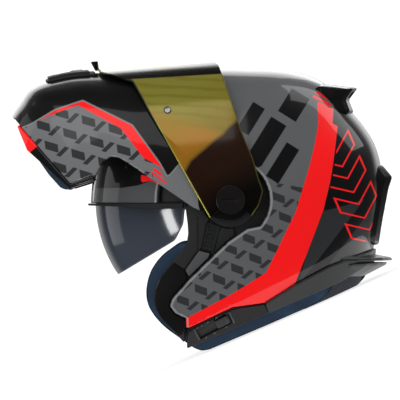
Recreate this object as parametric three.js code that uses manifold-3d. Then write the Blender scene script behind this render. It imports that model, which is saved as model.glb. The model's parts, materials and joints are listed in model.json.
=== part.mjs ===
// A flip-front (modular) motorcycle helmet with its chin bar and visor swung up and its inner sun visor
// down.
//
// Drawing frame, in millimetres: the origin is on the line between the two face pivots. +X points to the
// back of
// the head, +Y to the wearer's right and +Z up, with the helmet pitched as a rider wears it. At the end
// the whole
// helmet is pitched back by standTilt, so that it stands on its neck roll and cheek pads as it does on a
// table.
import * as THREE from "three";
import { mergeVertices } from "three/addons/utils/BufferGeometryUtils.js";
import Module from "manifold-3d";

const wasm = await Module();
wasm.setup();

// ---------------------------------------------------------------- driving dimensions
const shellHalfWidth = 122; // painted shell, from the middle plane to its flat side at the pivot
const sideFullness = 2.25; // superellipse power of every cross-section through the pivot line
const shellWall = 3.6; // moulded outer shell
const recessDepth = 10; // how far the shell steps in under the chin bar and round the pivots
const frameThickness = 2.5; // matte side frame lining the recess
const chinWall = 4.4; // chin bar moulding
const visorThickness = 2.2;
const visorGap = 1.4; // between the painted shell's side and the inside of the visor
const sunVisorThickness = 2;
const sunVisorRadius = 130.5; // outside of the sun visor, about the pivot line
const linerGap = 1.2; // between the shell and the foam liner
const seatGap = 0.3; // clearance between pieces that touch
const rimDrop = 114.3; // pivot line to the shell's lower rim, square to the rim
const padDrop = 9.7; // how far the soft pads stand below the rim
const padInside = 52; // middle plane to the crown of each cheek pad
const surfaceTolerance = 0.13; // how far a surface may move where its facets are merged
const standTilt = THREE.MathUtils.degToRad(23.3); // slope of the rim when worn
const pivotPinRadius = 5;
const pivotDishRadius = 37.6; // recess behind the pivots
const frontDishRadius = 65.6 + chinWall; // recess ahead of and above the pivots, where the arms swing
const brimLine = -3; // lower edge of the brow, against the pivot line

const finishes = {
  paint: { color: 0x48494b, roughness: 0.25 },
  gloss: { color: 0x0b0b0c, roughness: 0.25 },
  satin: { color: 0x1a1a1b, roughness: 0.45 },
  matte: { color: 0x1a1a1b, roughness: 0.8 },
  red: { color: 0xe3120f, roughness: 0.35 },
  gold: { color: 0x9a7a1c, roughness: 0.12, metalness: 0.35 },
  smoke: { color: 0x2a3038, roughness: 0.08 },
  navy: { color: 0x1f3a54, roughness: 0.95 },
  cloth: { color: 0x35363a, roughness: 0.95 },
  foam: { color: 0x2b2c2e, roughness: 0.9 },
  steel: { color: 0x9da0a4, roughness: 0.3, metalness: 0.9 },
};

// Middle-plane outlines as [degrees, radius]: the angle turns from straight ahead, over the crown, to
// the back.
const shellProfile = [
  [-110, 172], [-90, 185], [-76, 206], [-60, 221], [-51, 220], [-46, 217], [-40, 200], [-32, 172],
  [-16, 141],
  [0, 135], [20, 135], [45, 134.6], [62, 132.5], [78, 129.6], [94, 128.5], [103, 131], [115, 138],
  [123, 143],
  [129, 145.5], [137, 145.5], [144, 145.5], [150, 147.5], [158, 150], [166, 150], [173, 148.5], [184, 145],
  [192, 144.2], [198, 146.5], [206, 151.5], [220, 161], [235, 167],
];
const chinProfile = [
  [-110, 200], [-60, 205], [-20, 216], [0, 225], [12, 227], [20.8, 227], [25, 224.5], [29.6, 221],
  [35.7, 204],
  [43.9, 178.5], [50, 163], [56, 150], [62, 143], [70, 138.5], [100, 138], [160, 138], [220, 160],
];
const headProfile = [
  [-110, 150], [-76, 158], [-46, 150], [-24, 118], [0, 103], [45, 100], [80, 96], [110, 104], [144, 112],
  [173, 114], [200, 112], [235, 132],
];
const visorTop = { front: [-128, 127.8], rear: [-17.5, 138] }; // straight middle line of the raised visor

// ---------------------------------------------------------------- surfaces about the pivot line
const rad = THREE.MathUtils.degToRad;

/** Radius of a closed middle-plane outline at an angle in degrees, smoothed through its knots. */
function profileRadius(knots, degrees) {
  const first = knots[0][0];
  const turned = first + ((((degrees - first) % 360) + 360) % 360);
  const n = knots.length;
  const knot = (i) => [knots[(i + n) % n][0] + 360 * Math.floor(i / n), knots[(i + n) % n][1]];
  let i = 0;
  while (i + 1 < n && knots[i + 1][0] <= turned) i += 1;
  const [a0, r0] = knot(i - 1);
  const [a1, r1] = knot(i);
  const [a2, r2] = knot(i + 1);
  const [a3, r3] = knot(i + 2);
  const t = (turned - a1) / (a2 - a1);
  const m1 = ((r2 - r0) / (a2 - a0)) * (a2 - a1);
  const m2 = ((r3 - r1) / (a3 - a1)) * (a2 - a1);
  const t2 = t * t;
  const t3 = t2 * t;
  return (2 * t3 - 3 * t2 + 1) * r1 + (t3 - 2 * t2 + t) * m1 + (3 * t2 - 2 * t3) * r2 + (t3 - t2) * m2;
}

/** The visor's outline: its straight middle line in polar form, held at the ends. */
function visorRadius(degrees) {
  const [x0, z0] = visorTop.front;
  const [x1, z1] = visorTop.rear;
  const lowest = THREE.MathUtils.radToDeg(Math.atan2(z0, -x0));
  const highest = THREE.MathUtils.radToDeg(Math.atan2(z1, -x1));
  const wrapped = ((((degrees + 90) % 360) + 360) % 360) - 90;
  const a = rad(THREE.MathUtils.clamp(wrapped, lowest, highest));
  const [nx, nz] = [z0 - z1, x1 - x0];
  return (nx * x0 + nz * z0) / (nx * -Math.cos(a) + nz * Math.sin(a));
}

// Turns and rows of the surfaces that differ from the usual ones.
const facetsOf = { head: [30, 10], quilt: [48, 16], sunVisor: [34, 14] };
const radiusOf = {
  shell: (a) => profileRadius(shellProfile, a),
  chin: (a) => profileRadius(chinProfile, a),
  head: (a) => profileRadius(headProfile, a),
  quilt: (a) => profileRadius(headProfile, a),
  visor: visorRadius,
  sunVisor: () => sunVisorRadius,
  browSweep: () => Math.max(...shellProfile.filter(([a]) => a >= 0 && a < 90).map(([, r]) => r)),
};
const halfWidthOf = {
  shell: shellHalfWidth,
  chin: shellHalfWidth,
  browSweep: shellHalfWidth,
  head: shellHalfWidth - 43,
  quilt: shellHalfWidth - 43,
  visor: shellHalfWidth + visorGap + visorThickness,
  sunVisor: shellHalfWidth - recessDepth - shellWall - 1.2,
};

/** Distance from the middle plane of a surface, shrunk by inset, over the side-view point (x, z). */
function sideReach(kind, x, z, inset = 0) {
  const degrees = THREE.MathUtils.radToDeg(Math.atan2(z, -x));
  const share = Math.hypot(x, z) / (radiusOf[kind](degrees) - inset);
  return share >= 1 ? 0 : (halfWidthOf[kind] - inset) * (1 - share ** sideFullness) ** (1 / sideFullness);
}

// ---------------------------------------------------------------- solids
/** A manifold-3d solid of a closed three.js geometry. */
function solid(geometry) {
  const bare = geometry.index ? geometry.toNonIndexed() : geometry.clone();
  bare.deleteAttribute("normal");
  bare.deleteAttribute("uv");
  const merged = mergeVertices(bare, 1e-4);
  return new wasm.Manifold(
    new wasm.Mesh({
      numProp: 3,
      vertProperties: new Float32Array(merged.attributes.position.array),
      triVerts: new Uint32Array(merged.index.array),
    }),
  );
}

/** The closed volume inside a surface: rows of points from the left pole to the right pole, turned about Y.
 *  relief(turn, row), from -1 to 1 across the rows, moves a point towards the pivot line. */
function bodyVolume(kind, inset = 0, radialInset = inset, relief = () => 0) {
  const [turns, rows] = facetsOf[kind] ?? [46, 16];
  const positions = [0, -(halfWidthOf[kind] - inset), 0];
  for (let j = 1; j < rows; j += 1) {
    const b = -Math.PI / 2 + (Math.PI * j) / rows;
    const c = Math.cos(b) ** (2 / sideFullness);
    const s = Math.sign(b) * Math.abs(Math.sin(b)) ** (2 / sideFullness);
    for (let i = 0; i < turns; i += 1) {
      const a = (360 * i) / turns;
      const r = (radiusOf[kind](a) - radialInset - relief(a, (2 * j) / rows - 1)) * c;
      positions.push(-Math.cos(rad(a)) * r, (halfWidthOf[kind] - inset) * s, Math.sin(rad(a)) * r);
    }
  }
  positions.push(0, halfWidthOf[kind] - inset, 0);
  const last = positions.length / 3 - 1;
  const at = (j, i) => 1 + (j - 1) * turns + (i % turns);
  const index = [];
  for (let i = 0; i < turns; i += 1) {
    index.push(0, at(1, i + 1), at(1, i));
    index.push(last, at(rows - 1, i), at(rows - 1, i + 1));
    for (let j = 1; j < rows - 1; j += 1) {
      index.push(at(j, i), at(j + 1, i + 1), at(j + 1, i));
      index.push(at(j, i), at(j, i + 1), at(j + 1, i + 1));
    }
  }
  const geometry = new THREE.BufferGeometry();
  geometry.setAttribute("position", new THREE.Float32BufferAttribute(positions, 3));
  geometry.setIndex(index);
  return solid(geometry);
}

/** The layer between two insets of a surface. */
function layer(kind, outerInset, innerInset) {
  return bodyVolume(kind, outerInset).subtract(bodyVolume(kind, innerInset));
}

/** The layer between two depths in the side recess, which narrows the helmet but leaves its outline. */
function recessLayer(outerDepth, innerDepth) {
  return bodyVolume("shell", outerDepth, 0).subtract(bodyVolume("shell", innerDepth, 0));
}

/** A closed outline without repeated points or points on a straight run. */
function tidied(points) {
  const before = (list, i) => list[(i + list.length - 1) % list.length];
  const apart = points.filter(([x, z], i) => {
    const [px, pz] = before(points, i);
    return Math.hypot(x - px, z - pz) > 1e-3;
  });
  return apart.filter(([x, z], i) => {
    const [px, pz] = before(apart, i);
    const [nx, nz] = apart[(i + 1) % apart.length];
    return Math.abs((x - px) * (nz - z) - (z - pz) * (nx - x)) > 1e-6;
  });
}

/** A closed outline with each corner eased by a short curve of about a radius. */
function rounded(points, radius) {
  return points.flatMap((corner, i) => {
    const toward = ([x, z]) => {
      const share = Math.min(0.45, radius / Math.hypot(x - corner[0], z - corner[1]));
      return [corner[0] + (x - corner[0]) * share, corner[1] + (z - corner[1]) * share];
    };
    const start = toward(points[(i + points.length - 1) % points.length]);
    const end = toward(points[(i + 1) % points.length]);
    return [start, start.map((v, k) => 0.25 * v + 0.5 * corner[k] + 0.25 * end[k]), end];
  });
}

/** A closed outline moved outwards by a distance, its corners mitred. */
function grown(points, distance) {
  const plain = tidied(points);
  const clockwise = THREE.ShapeUtils.isClockWise(plain.map(([x, z]) => new THREE.Vector2(x, z)));
  const ring = clockwise ? plain.reverse() : plain;
  const way = ([x0, z0], [x1, z1]) => new THREE.Vector2(x1 - x0, z1 - z0).normalize();
  return ring.map((corner, i) => {
    const u = way(ring[(i + ring.length - 1) % ring.length], corner);
    const v = way(corner, ring[(i + 1) % ring.length]);
    const k = distance / Math.max(1 + u.dot(v), 0.35);
    return [corner[0] + (u.y + v.y) * k, corner[1] - (u.x + v.x) * k];
  });
}

/** A closed outline turned by degrees and moved. */
function placed(points, degrees, [dx, dz]) {
  const [c, s] = [Math.cos(rad(degrees)), Math.sin(rad(degrees))];
  return points.map(([x, z]) => [x * c - z * s + dx, x * s + z * c + dz]);
}

/** An outline extruded along its third axis, as a bare geometry. */
function extruded(points, depth) {
  const shape = new THREE.Shape(tidied(points).map(([x, z]) => new THREE.Vector2(x, z)));
  return new THREE.ExtrudeGeometry(shape, { depth, bevelEnabled: false });
}

/** A side-view outline, extruded from y = low to y = high. */
function prism(outline, low = -200, high = 200) {
  return solid(extruded(outline, high - low).rotateX(Math.PI / 2).translate(0, high, 0));
}

/** Points of an arc about the pivot line, the angle turning from the back (+X) upwards. */
function arc(radius, from, to, steps = 12) {
  return Array.from({ length: steps + 1 }, (_, i) => {
    const a = rad(from + ((to - from) * i) / steps);
    return [radius * Math.cos(a), radius * Math.sin(a)];
  });
}

/** A round bar or disc along Y. */
function roundBar(radius, low, high, x = 0, z = 0, facets = radius < 4 ? 14 : 26) {
  const geometry = new THREE.CylinderGeometry(radius, radius, high - low, facets);
  geometry.translate(x, (low + high) / 2, z);
  return solid(geometry);
}

/** A box by its lowest and highest corners, turned in side view by degrees about its own middle. */
function block(low, high, degrees = 0) {
  const size = high.map((v, i) => v - low[i]);
  const geometry = new THREE.BoxGeometry(...size).rotateY(-rad(degrees));
  return solid(geometry.translate(...high.map((v, i) => (v + low[i]) / 2)));
}

/** Everything on the wearer's right of the middle plane. */
const rightHalf = block([-400, 0, -400], [400, 400, 400]);

/** A solid's triangles as a three.js geometry. */
function geometryOf(made) {
  const { numProp, numVert, vertProperties, triVerts } = made.getMesh();
  const positions = new Float32Array(numVert * 3);
  for (let i = 0; i < numVert; i += 1) {
    positions.set(vertProperties.subarray(i * numProp, i * numProp + 3), i * 3);
  }
  const geometry = new THREE.BufferGeometry();
  geometry.setAttribute("position", new THREE.BufferAttribute(positions, 3));
  geometry.setIndex(new THREE.BufferAttribute(new Uint32Array(triVerts), 1));
  return geometry;
}

const rimDirection = new THREE.Vector2(Math.cos(standTilt), Math.sin(standTilt));
const rimNormal = new THREE.Vector2(Math.sin(standTilt), -Math.cos(standTilt));

/** A side-view point given along the rim from under the pivot and down square to it. */
function rimPoint(along, down) {
  return [
    rimDirection.x * along + rimNormal.x * down,
    rimDirection.y * along + rimNormal.y * down,
  ];
}

const group = new THREE.Group();

/** Adds a solid's largest piece to the helmet as a named mesh, mirrored to the left for side = -1. */
function add(name, made, finish, side = 1) {
  const geometry = geometryOf(largest(made).simplify(surfaceTolerance));
  const mesh = new THREE.Mesh(geometry, new THREE.MeshStandardMaterial(finishes[finish]));
  mesh.name = name;
  mesh.scale.y = side;
  group.add(mesh);
}

/** The largest separate piece of a solid. */
function largest(made) {
  if (made.isEmpty()) throw new Error("an empty solid");
  return made.decompose().reduce((a, b) => (a.volume() > b.volume() ? a : b));
}

const sides = [
  ["left", -1],
  ["right", 1],
];

// ---------------------------------------------------------------- side-view outlines
// Front edge of the shell at the eye port, from the brow down to the rim's front tip.
const eyePortEdge = [
  [-43.6, brimLine], [-43, -8], [-41, -23], [-40.5, -32], [-42, -42], [-48, -50.5], [-56, -60],
  [-68.5, -75],
  [-72.5, -85], [-73.5, -95], [-71, -105], [-65, -115], [-54, -126.5], [-39.5, -142.5],
];
// Edge of the painted side panel, where the closed chin bar meets it.
const panelEdge = [
  [16, -27.5], [-2.2, -40], [-17, -54], [-39.5, -76], [-55.5, -94.1], [-58, -101.5], [-52.5, -108.5],
  [-42.5, -113],
];
// Top edge of the lower trims, from the front tip to the back.
const trimTop = [
  [-42.5, -113], [-42.1, -123.5], [2.1, -102.7], [14.6, -101], [32.6, -98.6], [61, -80.7], [94.6, -62.9],
  [140.9, -46.6], [172, -38],
];

/** Everything that the raised and lowered chin bar needs the shell to step in for. */
const recessOutline = [
  ...panelEdge.slice().reverse(), ...arc(pivotDishRadius, -42, 80, 10),
  ...arc(frontDishRadius, 104, 180, 8),
  [-frontDishRadius, -8], [-230, -8], [-230, -260], [-42.5, -260],
];

/** A wedge of the side view as seen from the pivots, between two angles above straight ahead. */
function wedge(low, high, near = 100, far = 320) {
  return [...arc(near, 180 - low, 180 - high, 4), ...arc(far, 180 - high, 180 - low, 4)];
}

/** A rim-parallel band of the side view, between two drops below the pivot line. */
function rimBand(top, bottom, from = -300, to = 300) {
  return [rimPoint(from, bottom), rimPoint(to, bottom), rimPoint(to, top), rimPoint(from, top)];
}

/** A side-view outline whose width tapers: the plan is given as points [x, half width]. */
function tapered(outline, plan) {
  const flat = [...plan, ...plan.slice().reverse().map(([x, y]) => [x, -y])];
  return prism(outline).intersect(solid(extruded(flat, 600).translate(0, 0, -300)));
}

// ---------------------------------------------------------------- outer shell
const eyePort = [...eyePortEdge, [-39.5, -300], [-300, -300], [-300, brimLine]];
const underTrim = [...trimTop, [260, -38], [260, -400], [-90, -400], [-90, -160], [-60, -118]];
const outerStep = bodyVolume("shell")
  .subtract(prism(recessOutline))
  .add(bodyVolume("shell", recessDepth, 0));
const innerStep = (depth) =>
  bodyVolume("shell", depth)
    .subtract(prism(grown(recessOutline, depth)))
    .add(bodyVolume("shell", recessDepth + depth, depth));
const sunPivotBore = roundBar(pivotPinRadius + 0.3, -200, 200);

/** A round duct from the back into the shell, at a slope in degrees, through a point. */
function duct(radius, slope, x, y, z) {
  const bore = new THREE.CylinderGeometry(radius, radius, 46, 16);
  return solid(bore.rotateZ(rad(slope - 90)).translate(x, y, z));
}
const exhaustDucts = [-22, 22].map((y) => duct(4.5, 40, 98, y, 88));
const lowerDucts = [-12, 12].map((y) => duct(4, 5, 146, y, 2));
const shellBody = [...exhaustDucts, ...lowerDucts].reduce(
  (made, hole) => made.subtract(hole),
  outerStep.subtract(innerStep(shellWall)).subtract(prism(eyePort)).subtract(prism(underTrim)),
);
add("outer_shell", shellBody.subtract(sunPivotBore), "paint");

// ---------------------------------------------------------------- foam liner with its pocket for the
// sun visor
const padBottom = rimDrop + padDrop;
const rollStart = 43; // along the rim, where the neck roll takes over from the cheek pads
const rollTop = rimDrop - 20;
const cheekOutline = rounded([
  [-46, -38], [-57, -46.5], [-66, -52.5], [-77, -66], [-82, -86], [-79.5, -103], [-65, -121],
  rimPoint(-84, padBottom),
  rimPoint(rollStart - 0.3, padBottom), rimPoint(rollStart + 19.7, rimDrop),
  rimPoint(rollStart + 12, rollTop),
  [26, -50], [-10, -44],
], 7);
const sunPocket = bodyVolume("shell", -5)
  .subtract(bodyVolume("sunVisor", sunVisorThickness + 1.5))
  .intersect(prism([[0, -17], ...arc(150, 235, 108, 20), [0, 17], [17, 0]]));
const foamLiner = innerStep(shellWall + linerGap)
  .subtract(prism(grown(eyePort, 3)))
  .subtract(prism(rimBand(rimDrop - 9, 500)))
  .subtract(sunPocket)
  .subtract(bodyVolume("head"))
  .subtract(prism(rimBand(rollTop - 0.6, 500, rollStart + 10)))
  .subtract(prism(grown(cheekOutline, 0.6)));
add("eps_liner", foamLiner, "foam");

// ---------------------------------------------------------------- lower trims along the rim
const rimHeight = (x) => (x * rimDirection.y - rimDrop) / rimDirection.x; // height of the rim at x
const sideTrimOutline = [
  [-41.6, -124], [2.2, -103.4], [14.8, -101.7], [32.8, -99.4], [36.5, rimHeight(36.5)],
  [-41.6, rimHeight(-41.6)],
];
const leverSlope = 27.5; // degrees, slope of the sun visor's lever slot
const leverCentre = [-15.5, -120.6];
const leverTravel = 18;

/** A rectangle in side view laid along the lever slot. */
function alongSlot(length, width, shift = 0) {
  const corners = [[-0.5, -0.5], [0.5, -0.5], [0.5, 0.5], [-0.5, 0.5]];
  return placed(corners.map(([a, b]) => [a * length + shift, b * width]), leverSlope, leverCentre);
}
const leverSlot = layer("shell", -8, 1.4).intersect(prism(alongSlot(34, 9), 0));
const sideTrim = layer("shell", -1, shellWall).intersect(prism(sideTrimOutline)).intersect(rightHalf);
add("lower_side_trim_right", sideTrim, "gloss");
add("lower_side_trim_left", sideTrim.subtract(leverSlot), "gloss", -1);

// The sun visor's lever: a thumb pad on a foot that slides in the slot of the left trim.
const leverShift = leverTravel / 2;
const leverGroove = (shift) =>
  layer("shell", -6, -3.4).intersect(prism(alongSlot(2, 12, leverShift + shift), 0));
const sunLever = layer("shell", -0.4, 1.1)
  .intersect(prism(alongSlot(14, 8.4, leverShift), 0))
  .add(layer("shell", -4.4, 1).intersect(prism(rounded(alongSlot(12, 7.6, leverShift), 2), 0)))
  .subtract(leverGroove(-3))
  .subtract(leverGroove(1));
add("sun_visor_lever", sunLever, "satin", -1);

const skirtBand = layer("shell", -2.6, shellWall).intersect(prism([
  [33.1, -99.2], [61, -81.4], [94.6, -63.6], [140.9, -47.3], [172, -38.8], [176, -60],
  [124, rimHeight(124) + 3],
  [106, rimHeight(106)], [36.9, rimHeight(36.9)],
]));
// The skirt's lip: two blades that flare out behind the neck, with a slot between them.
const lipPlan = [[92, 84], [108, 83], [122, 76], [136, 62], [147, 43], [153, 24], [157, 6]];
const lipBlade = (outline) => layer("shell", -15, shellWall).intersect(tapered(outline, lipPlan));
const upperBlade = [
  [98, -71], [120, -62], [140, -52.5], [156, -55.5], [157, -58.5], [139, -58], [112, -69.5],
];
const lowerBlade = [
  [100, -75], [112, -72.5], [126, -66.5], [132, -67.5], [152, -60], [151, -62.5], [131, -73], [108, -79],
];
const skirtLip = lipBlade(upperBlade).add(lipBlade(lowerBlade));
add("rear_skirt", skirtBand.add(skirtLip), "satin");

// ---------------------------------------------------------------- side frames, covers and catches in
// the recess
const frameBack = recessDepth - seatGap;
const frameFront = frameBack - frameThickness;
const plateRadius = 26;
const inRecess = (outline, proud = 0) =>
  recessLayer(frameFront - proud, frameBack).intersect(prism(outline)).intersect(rightHalf);
const seatedFrame = [
  ...eyePortEdge.slice(2, -1).map(([x, z]) => [x + 0.4, z]), [-43.4, -138], [-43.4, -114], [-53.2, -109.6],
  [-59, -101.8], [-56.4, -93.4], [-40.3, -75], [-17.8, -53], [-3, -38.9], [15, -26.7], [30, -14], [-30, 4],
  [-41.5, 4],
];
const frontCover = [
  [-70, -46.5], [-54.2, -59.9], [-44.2, -66.8], [-40.8, -76], [-30, -84], [-30, -150], [-95, -150],
];
const catchOutline = [[-22.2, -21.3], [-10.1, -25.6], [-16.1, -48.6], [-27.4, -46.4]];
const cornerPlate = [[-30, -48.2], [-17.4, -51.6], [-39.6, -73.4], [-43.4, -67]];
const frontStrip = [
  ...eyePortEdge.slice(2, 7).map(([x, z]) => [x + 0.4, z]), [-53.6, -60.6], [-44, -66.2], [-31, -47],
  [-31, -14],
];
const pivotRoom = roundBar(plateRadius + 1.5, 0, 200);
const sideFrame = inRecess(seatedFrame)
  .add(inRecess(frontStrip, 0.9))
  .subtract(prism(grown(frontCover, 0.2)))
  .subtract(prism(grown(catchOutline, 0.4)))
  .subtract(prism(grown(cornerPlate, 0.2)))
  .subtract(pivotRoom);
const lowerCover = inRecess(seatedFrame, 1.2).intersect(prism(grown(frontCover, -0.2)));

/** A catch plate with ladder-like windows, that the closed chin bar's arm rests over. */
const catchPlate = [0, 1, 2].reduce((made, i) => {
  const [x, z] = [-17.4 - i * 1.9, -27.2 - i * 7.6];
  const window = block([x - 4, 0, z - 2.6], [x + 4, 200, z + 2.6], -14);
  return made.subtract(recessLayer(frameFront - 4, frameFront).intersect(window));
}, inRecess(catchOutline, 1.2).subtract(pivotRoom));
sides.forEach(([label, side]) => {
  add(`side_frame_${label}`, sideFrame, "matte", side);
  add(`lower_front_cover_${label}`, lowerCover, "gloss", side);
  add(`frame_corner_plate_${label}`, inRecess(grown(cornerPlate, -0.2), 1.6), "paint", side);
  add(`side_catch_${label}`, catchPlate, "gloss", side);
});

// ---------------------------------------------------------------- brow gasket along the top of the eye
// port
const gasketSkin = bodyVolume("shell", -0.7, -2.6)
  .subtract(prism(grown(recessOutline, 2.4)))
  .add(bodyVolume("shell", recessDepth - 2.2, -2.6))
  .subtract(innerStep(shellWall - 1));
const gasketOutline = [
  [-150, brimLine - seatGap], [-45.5, brimLine - seatGap], [-45.5, -8], [-78, -9], [-106, -6.4], [-150, -5],
];
add("brow_gasket", gasketSkin.intersect(prism(gasketOutline)), "matte");

// ---------------------------------------------------------------- pivots
const chinHubRadius = 20;
const visorBore = 11.7;
const pinTop = shellHalfWidth - 1.4;
const pivotPlate = recessLayer(frameFront, frameBack)
  .intersect(roundBar(plateRadius, 0, 200))
  .add(roundBar(pivotPinRadius, halfWidthOf.sunVisor - sunVisorThickness - 1, pinTop))
  .subtract(roundBar(2.4, shellHalfWidth - 8, pinTop + 1));
const pivotCap = roundBar(visorBore - 0.4, pinTop + 0.3, shellHalfWidth + 4)
  .add(roundBar(visorBore + 2.3, shellHalfWidth + 4, shellHalfWidth + 5.4))
  .add(roundBar(2.1, shellHalfWidth - 7.7, pinTop + 1))
  .subtract(block([-7, shellHalfWidth + 4.6, -1.1], [7, shellHalfWidth + 6, 1.1]));
sides.forEach(([label, side]) => {
  add(`pivot_plate_${label}`, pivotPlate, "satin", side);
  add(`pivot_cap_${label}`, pivotCap, "gloss", side);
});

// ---------------------------------------------------------------- rear spoiler and rear vent
const spoilerBody = tapered(
  rounded([[90, 112.3], [121, 108.5], [113, 97], [117.5, 85], [98.5, 71.5], [80, 70], [80, 108]], 1.2),
  [[80, 34], [90, 47], [100, 54], [112, 52], [119, 42], [123, 24]],
).subtract(bodyVolume("shell", -seatGap));
const spoilerMouths = [-22, 22].map((y) => block([60, y - 13, 98.6], [150, y + 13, 104.8], 8));
add("rear_spoiler", spoilerMouths.reduce((made, mouth) => made.subtract(mouth), spoilerBody), "gloss");

const ventBody = tapered(
  rounded([
    [136, 38], [146.3, 33.5], [155.1, 22.4], [151.6, 11.2], [146, -20.5], [142.6, -43], [125, -46],
    [125, 20],
  ], 1),
  [[120, 44], [140, 41], [150, 34], [157, 22]],
).subtract(bodyVolume("shell", -seatGap)).intersect(bodyVolume("shell", -9));
const ventSlots = [-28, -16, -4].map((z) => block([120, -18, z - 2.2], [190, 18, z + 2.2]));
add("rear_vent", ventSlots.reduce((made, slot) => made.subtract(slot), ventBody), "gloss");

// ---------------------------------------------------------------- sun visor
const sunOutline = rounded([
  [-132, 16], [-131, -5], [-130, -24], [-125, -50.5], [-117, -73], [-112, -74.5], [-53.5, -39], [-46, -24],
  [-44.5, -9], [0, -9], [0, 9], [-60, 16],
], 2);
const sunVisor = layer("sunVisor", 0, sunVisorThickness)
  .intersect(prism(sunOutline).add(roundBar(9, -200, 200)))
  .subtract(roundBar(pivotPinRadius + 0.35, -200, 200))
  .subtract(block([-118, -15, -90], [-100, 15, -66]));
add("sun_visor", sunVisor, "smoke");

// ---------------------------------------------------------------- visor
const visorOutline = rounded([
  [2, -23.5], [-13.5, -22.5], [-17.5, -21.5], [-94, 114.5], [-116, 120.5], [-128, 124.5], [-140, 160],
  [-19.5, 170],
  [-19.5, 136], [-11.5, 131], [2, 92], [9.5, 68], [21.5, 39], [27, 19.5], [31, 8.5], [27, -5],
  [18.5, -17.5],
], 2);
const visorTab = layer("visor", -9, -0.5)
  .intersect(prism([[-121, 127], [-125, 123], [-140, 138.5], [-134, 140.5]]))
  .intersect(block([-200, -17, 0], [0, 17, 300]));
const pinSpot = [-60, 86]; // the fog insert's pin, on each side of the visor
const pinRadius = 3.2;
const visorBody = layer("visor", 0, visorThickness)
  .intersect(prism(visorOutline))
  .subtract(roundBar(visorBore, -200, 200))
  .add(visorTab)
  .subtract(roundBar(pinRadius + 0.1, -200, 200, ...pinSpot, 16));
add("visor", visorBody, "gold");
const fogPin = roundBar(pinRadius - 0.2, 0, 200, ...pinSpot, 20)
  .intersect(layer("visor", -0.8, visorThickness + 1));
sides.forEach(([label, side]) => add(`fog_pin_${label}`, fogPin, "steel", side));

// ---------------------------------------------------------------- chin bar, drawn raised
const chinArm = [
  [0, -chinHubRadius], [-12, -18], [-36, -7], [-99, 36], [-106.5, 40.5], [-114.5, 41.5], [-121.5, 37.5],
  [-125.5, 30.5], [-129, 23.5], [-153.5, 15.5],
];
const chinOutline = [
  ...chinArm, [-211.5, 80.5], [-240, 112], [-240, 160], [-112, 160], [-99, 128], [-88, 108], [-44, 40],
  [-14, 14.5],
  [0, 0],
];
const chinOuter = 1;
const chinInner = chinOuter + chinWall;
const ventAngles = [33, 43.6]; // the chin vent, above straight ahead
const lipOutline = [
  [-130, 23.2], [-153.4, 15.2], [-240, 113], [-240, 104], [-208, 74], [-196, 48], [-154, 11], [-130, 18.5],
];
const lipRoom = prism(grown(lipOutline, seatGap));
const hookPivot = [-151, 45];
const hookPlane = shellHalfWidth - 39.5; // middle plane to the latch hooks
const chinShell = layer("chin", chinOuter, chinInner)
  .intersect(prism(chinOutline).add(roundBar(chinHubRadius, -200, 200)))
  .subtract(lipRoom)
  .subtract(roundBar(pivotPinRadius + 0.35, -200, 200))
  .subtract(prism(wedge(ventAngles[0] + 3.4, ventAngles[1] - 3.4), -16, 16));
const hookPosts = roundBar(1.4, hookPlane - 2, 140, ...hookPivot, 16)
  .add(roundBar(1.4, -140, 2 - hookPlane, ...hookPivot, 16))
  .intersect(bodyVolume("chin", chinOuter + 1));
add("chin_bar_shell", chinShell.add(hookPosts), "paint");
add("chin_bar_lip", layer("chin", 0, 6).intersect(prism(lipOutline)), "red");

const chinLinerOutline = rounded([
  [-146, 54], [-154, 21.5], [-164, 30], [-240, 118], [-240, 160], [-125, 160], [-104, 120], [-88, 98],
  [-84, 72],
], 3);
const curtainOutline = rounded([
  [-218, 87], [-207, 77], [-197, 60], [-186, 40], [-174.5, 24], [-163, 11.5], [-157, 9.5], [-151.5, 13.5],
  [-157, 24], [-190, 60], [-214, 94],
], 1);
const hookOutline = rounded([
  [-155, 41], [-148, 38.5], [-138, 41], [-134, 46], [-138, 48.5], [-141, 45.5], [-147, 49.5], [-155, 49],
], 1);
const hookRoom = grown([[-155, 41], [-148, 38.5], [-138, 41], [-134, 46], [-138, 49.5], [-155, 49.5]], 4);
const buttonCentre = [-187.5, 60.2];
const buttonSlope = 131.7; // degrees, the chin bar's lower edge when raised
const pressTravel = 3;
const buttonShape = (side, low, high) => [[-side, low], [side, low], [side, high], [-side, high]];
const buttonOutline = placed(buttonShape(7, -3.5, 7), buttonSlope, buttonCentre);
const buttonRoom = placed(buttonShape(7.4, -pressTravel - 4.2, 20), buttonSlope, buttonCentre);
const chinLiner = bodyVolume("chin", chinInner + 0.4)
  .subtract(bodyVolume("chin", 19, 38))
  .subtract(bodyVolume("browSweep", -3))
  .intersect(prism(chinLinerOutline))
  .subtract(lipRoom)
  .subtract(layer("chin", 5, 11).intersect(prism(grown(curtainOutline, 0.5))))
  .subtract(prism(buttonRoom, -16.4, 16.4))
  .subtract(prism(hookRoom, hookPlane - 4, 200))
  .subtract(prism(hookRoom, -200, 4 - hookPlane));
add("chin_bar_liner", chinLiner, "foam");
add("release_button", prism(buttonOutline, -16, 16), "matte");
const latchHook = prism(hookOutline, hookPlane - 1.4, hookPlane + 1.4)
  .subtract(roundBar(1.8, 0, 200, ...hookPivot, 20));
sides.forEach(([label, side]) => add(`latch_hook_${label}`, latchHook, "steel", side));

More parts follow.
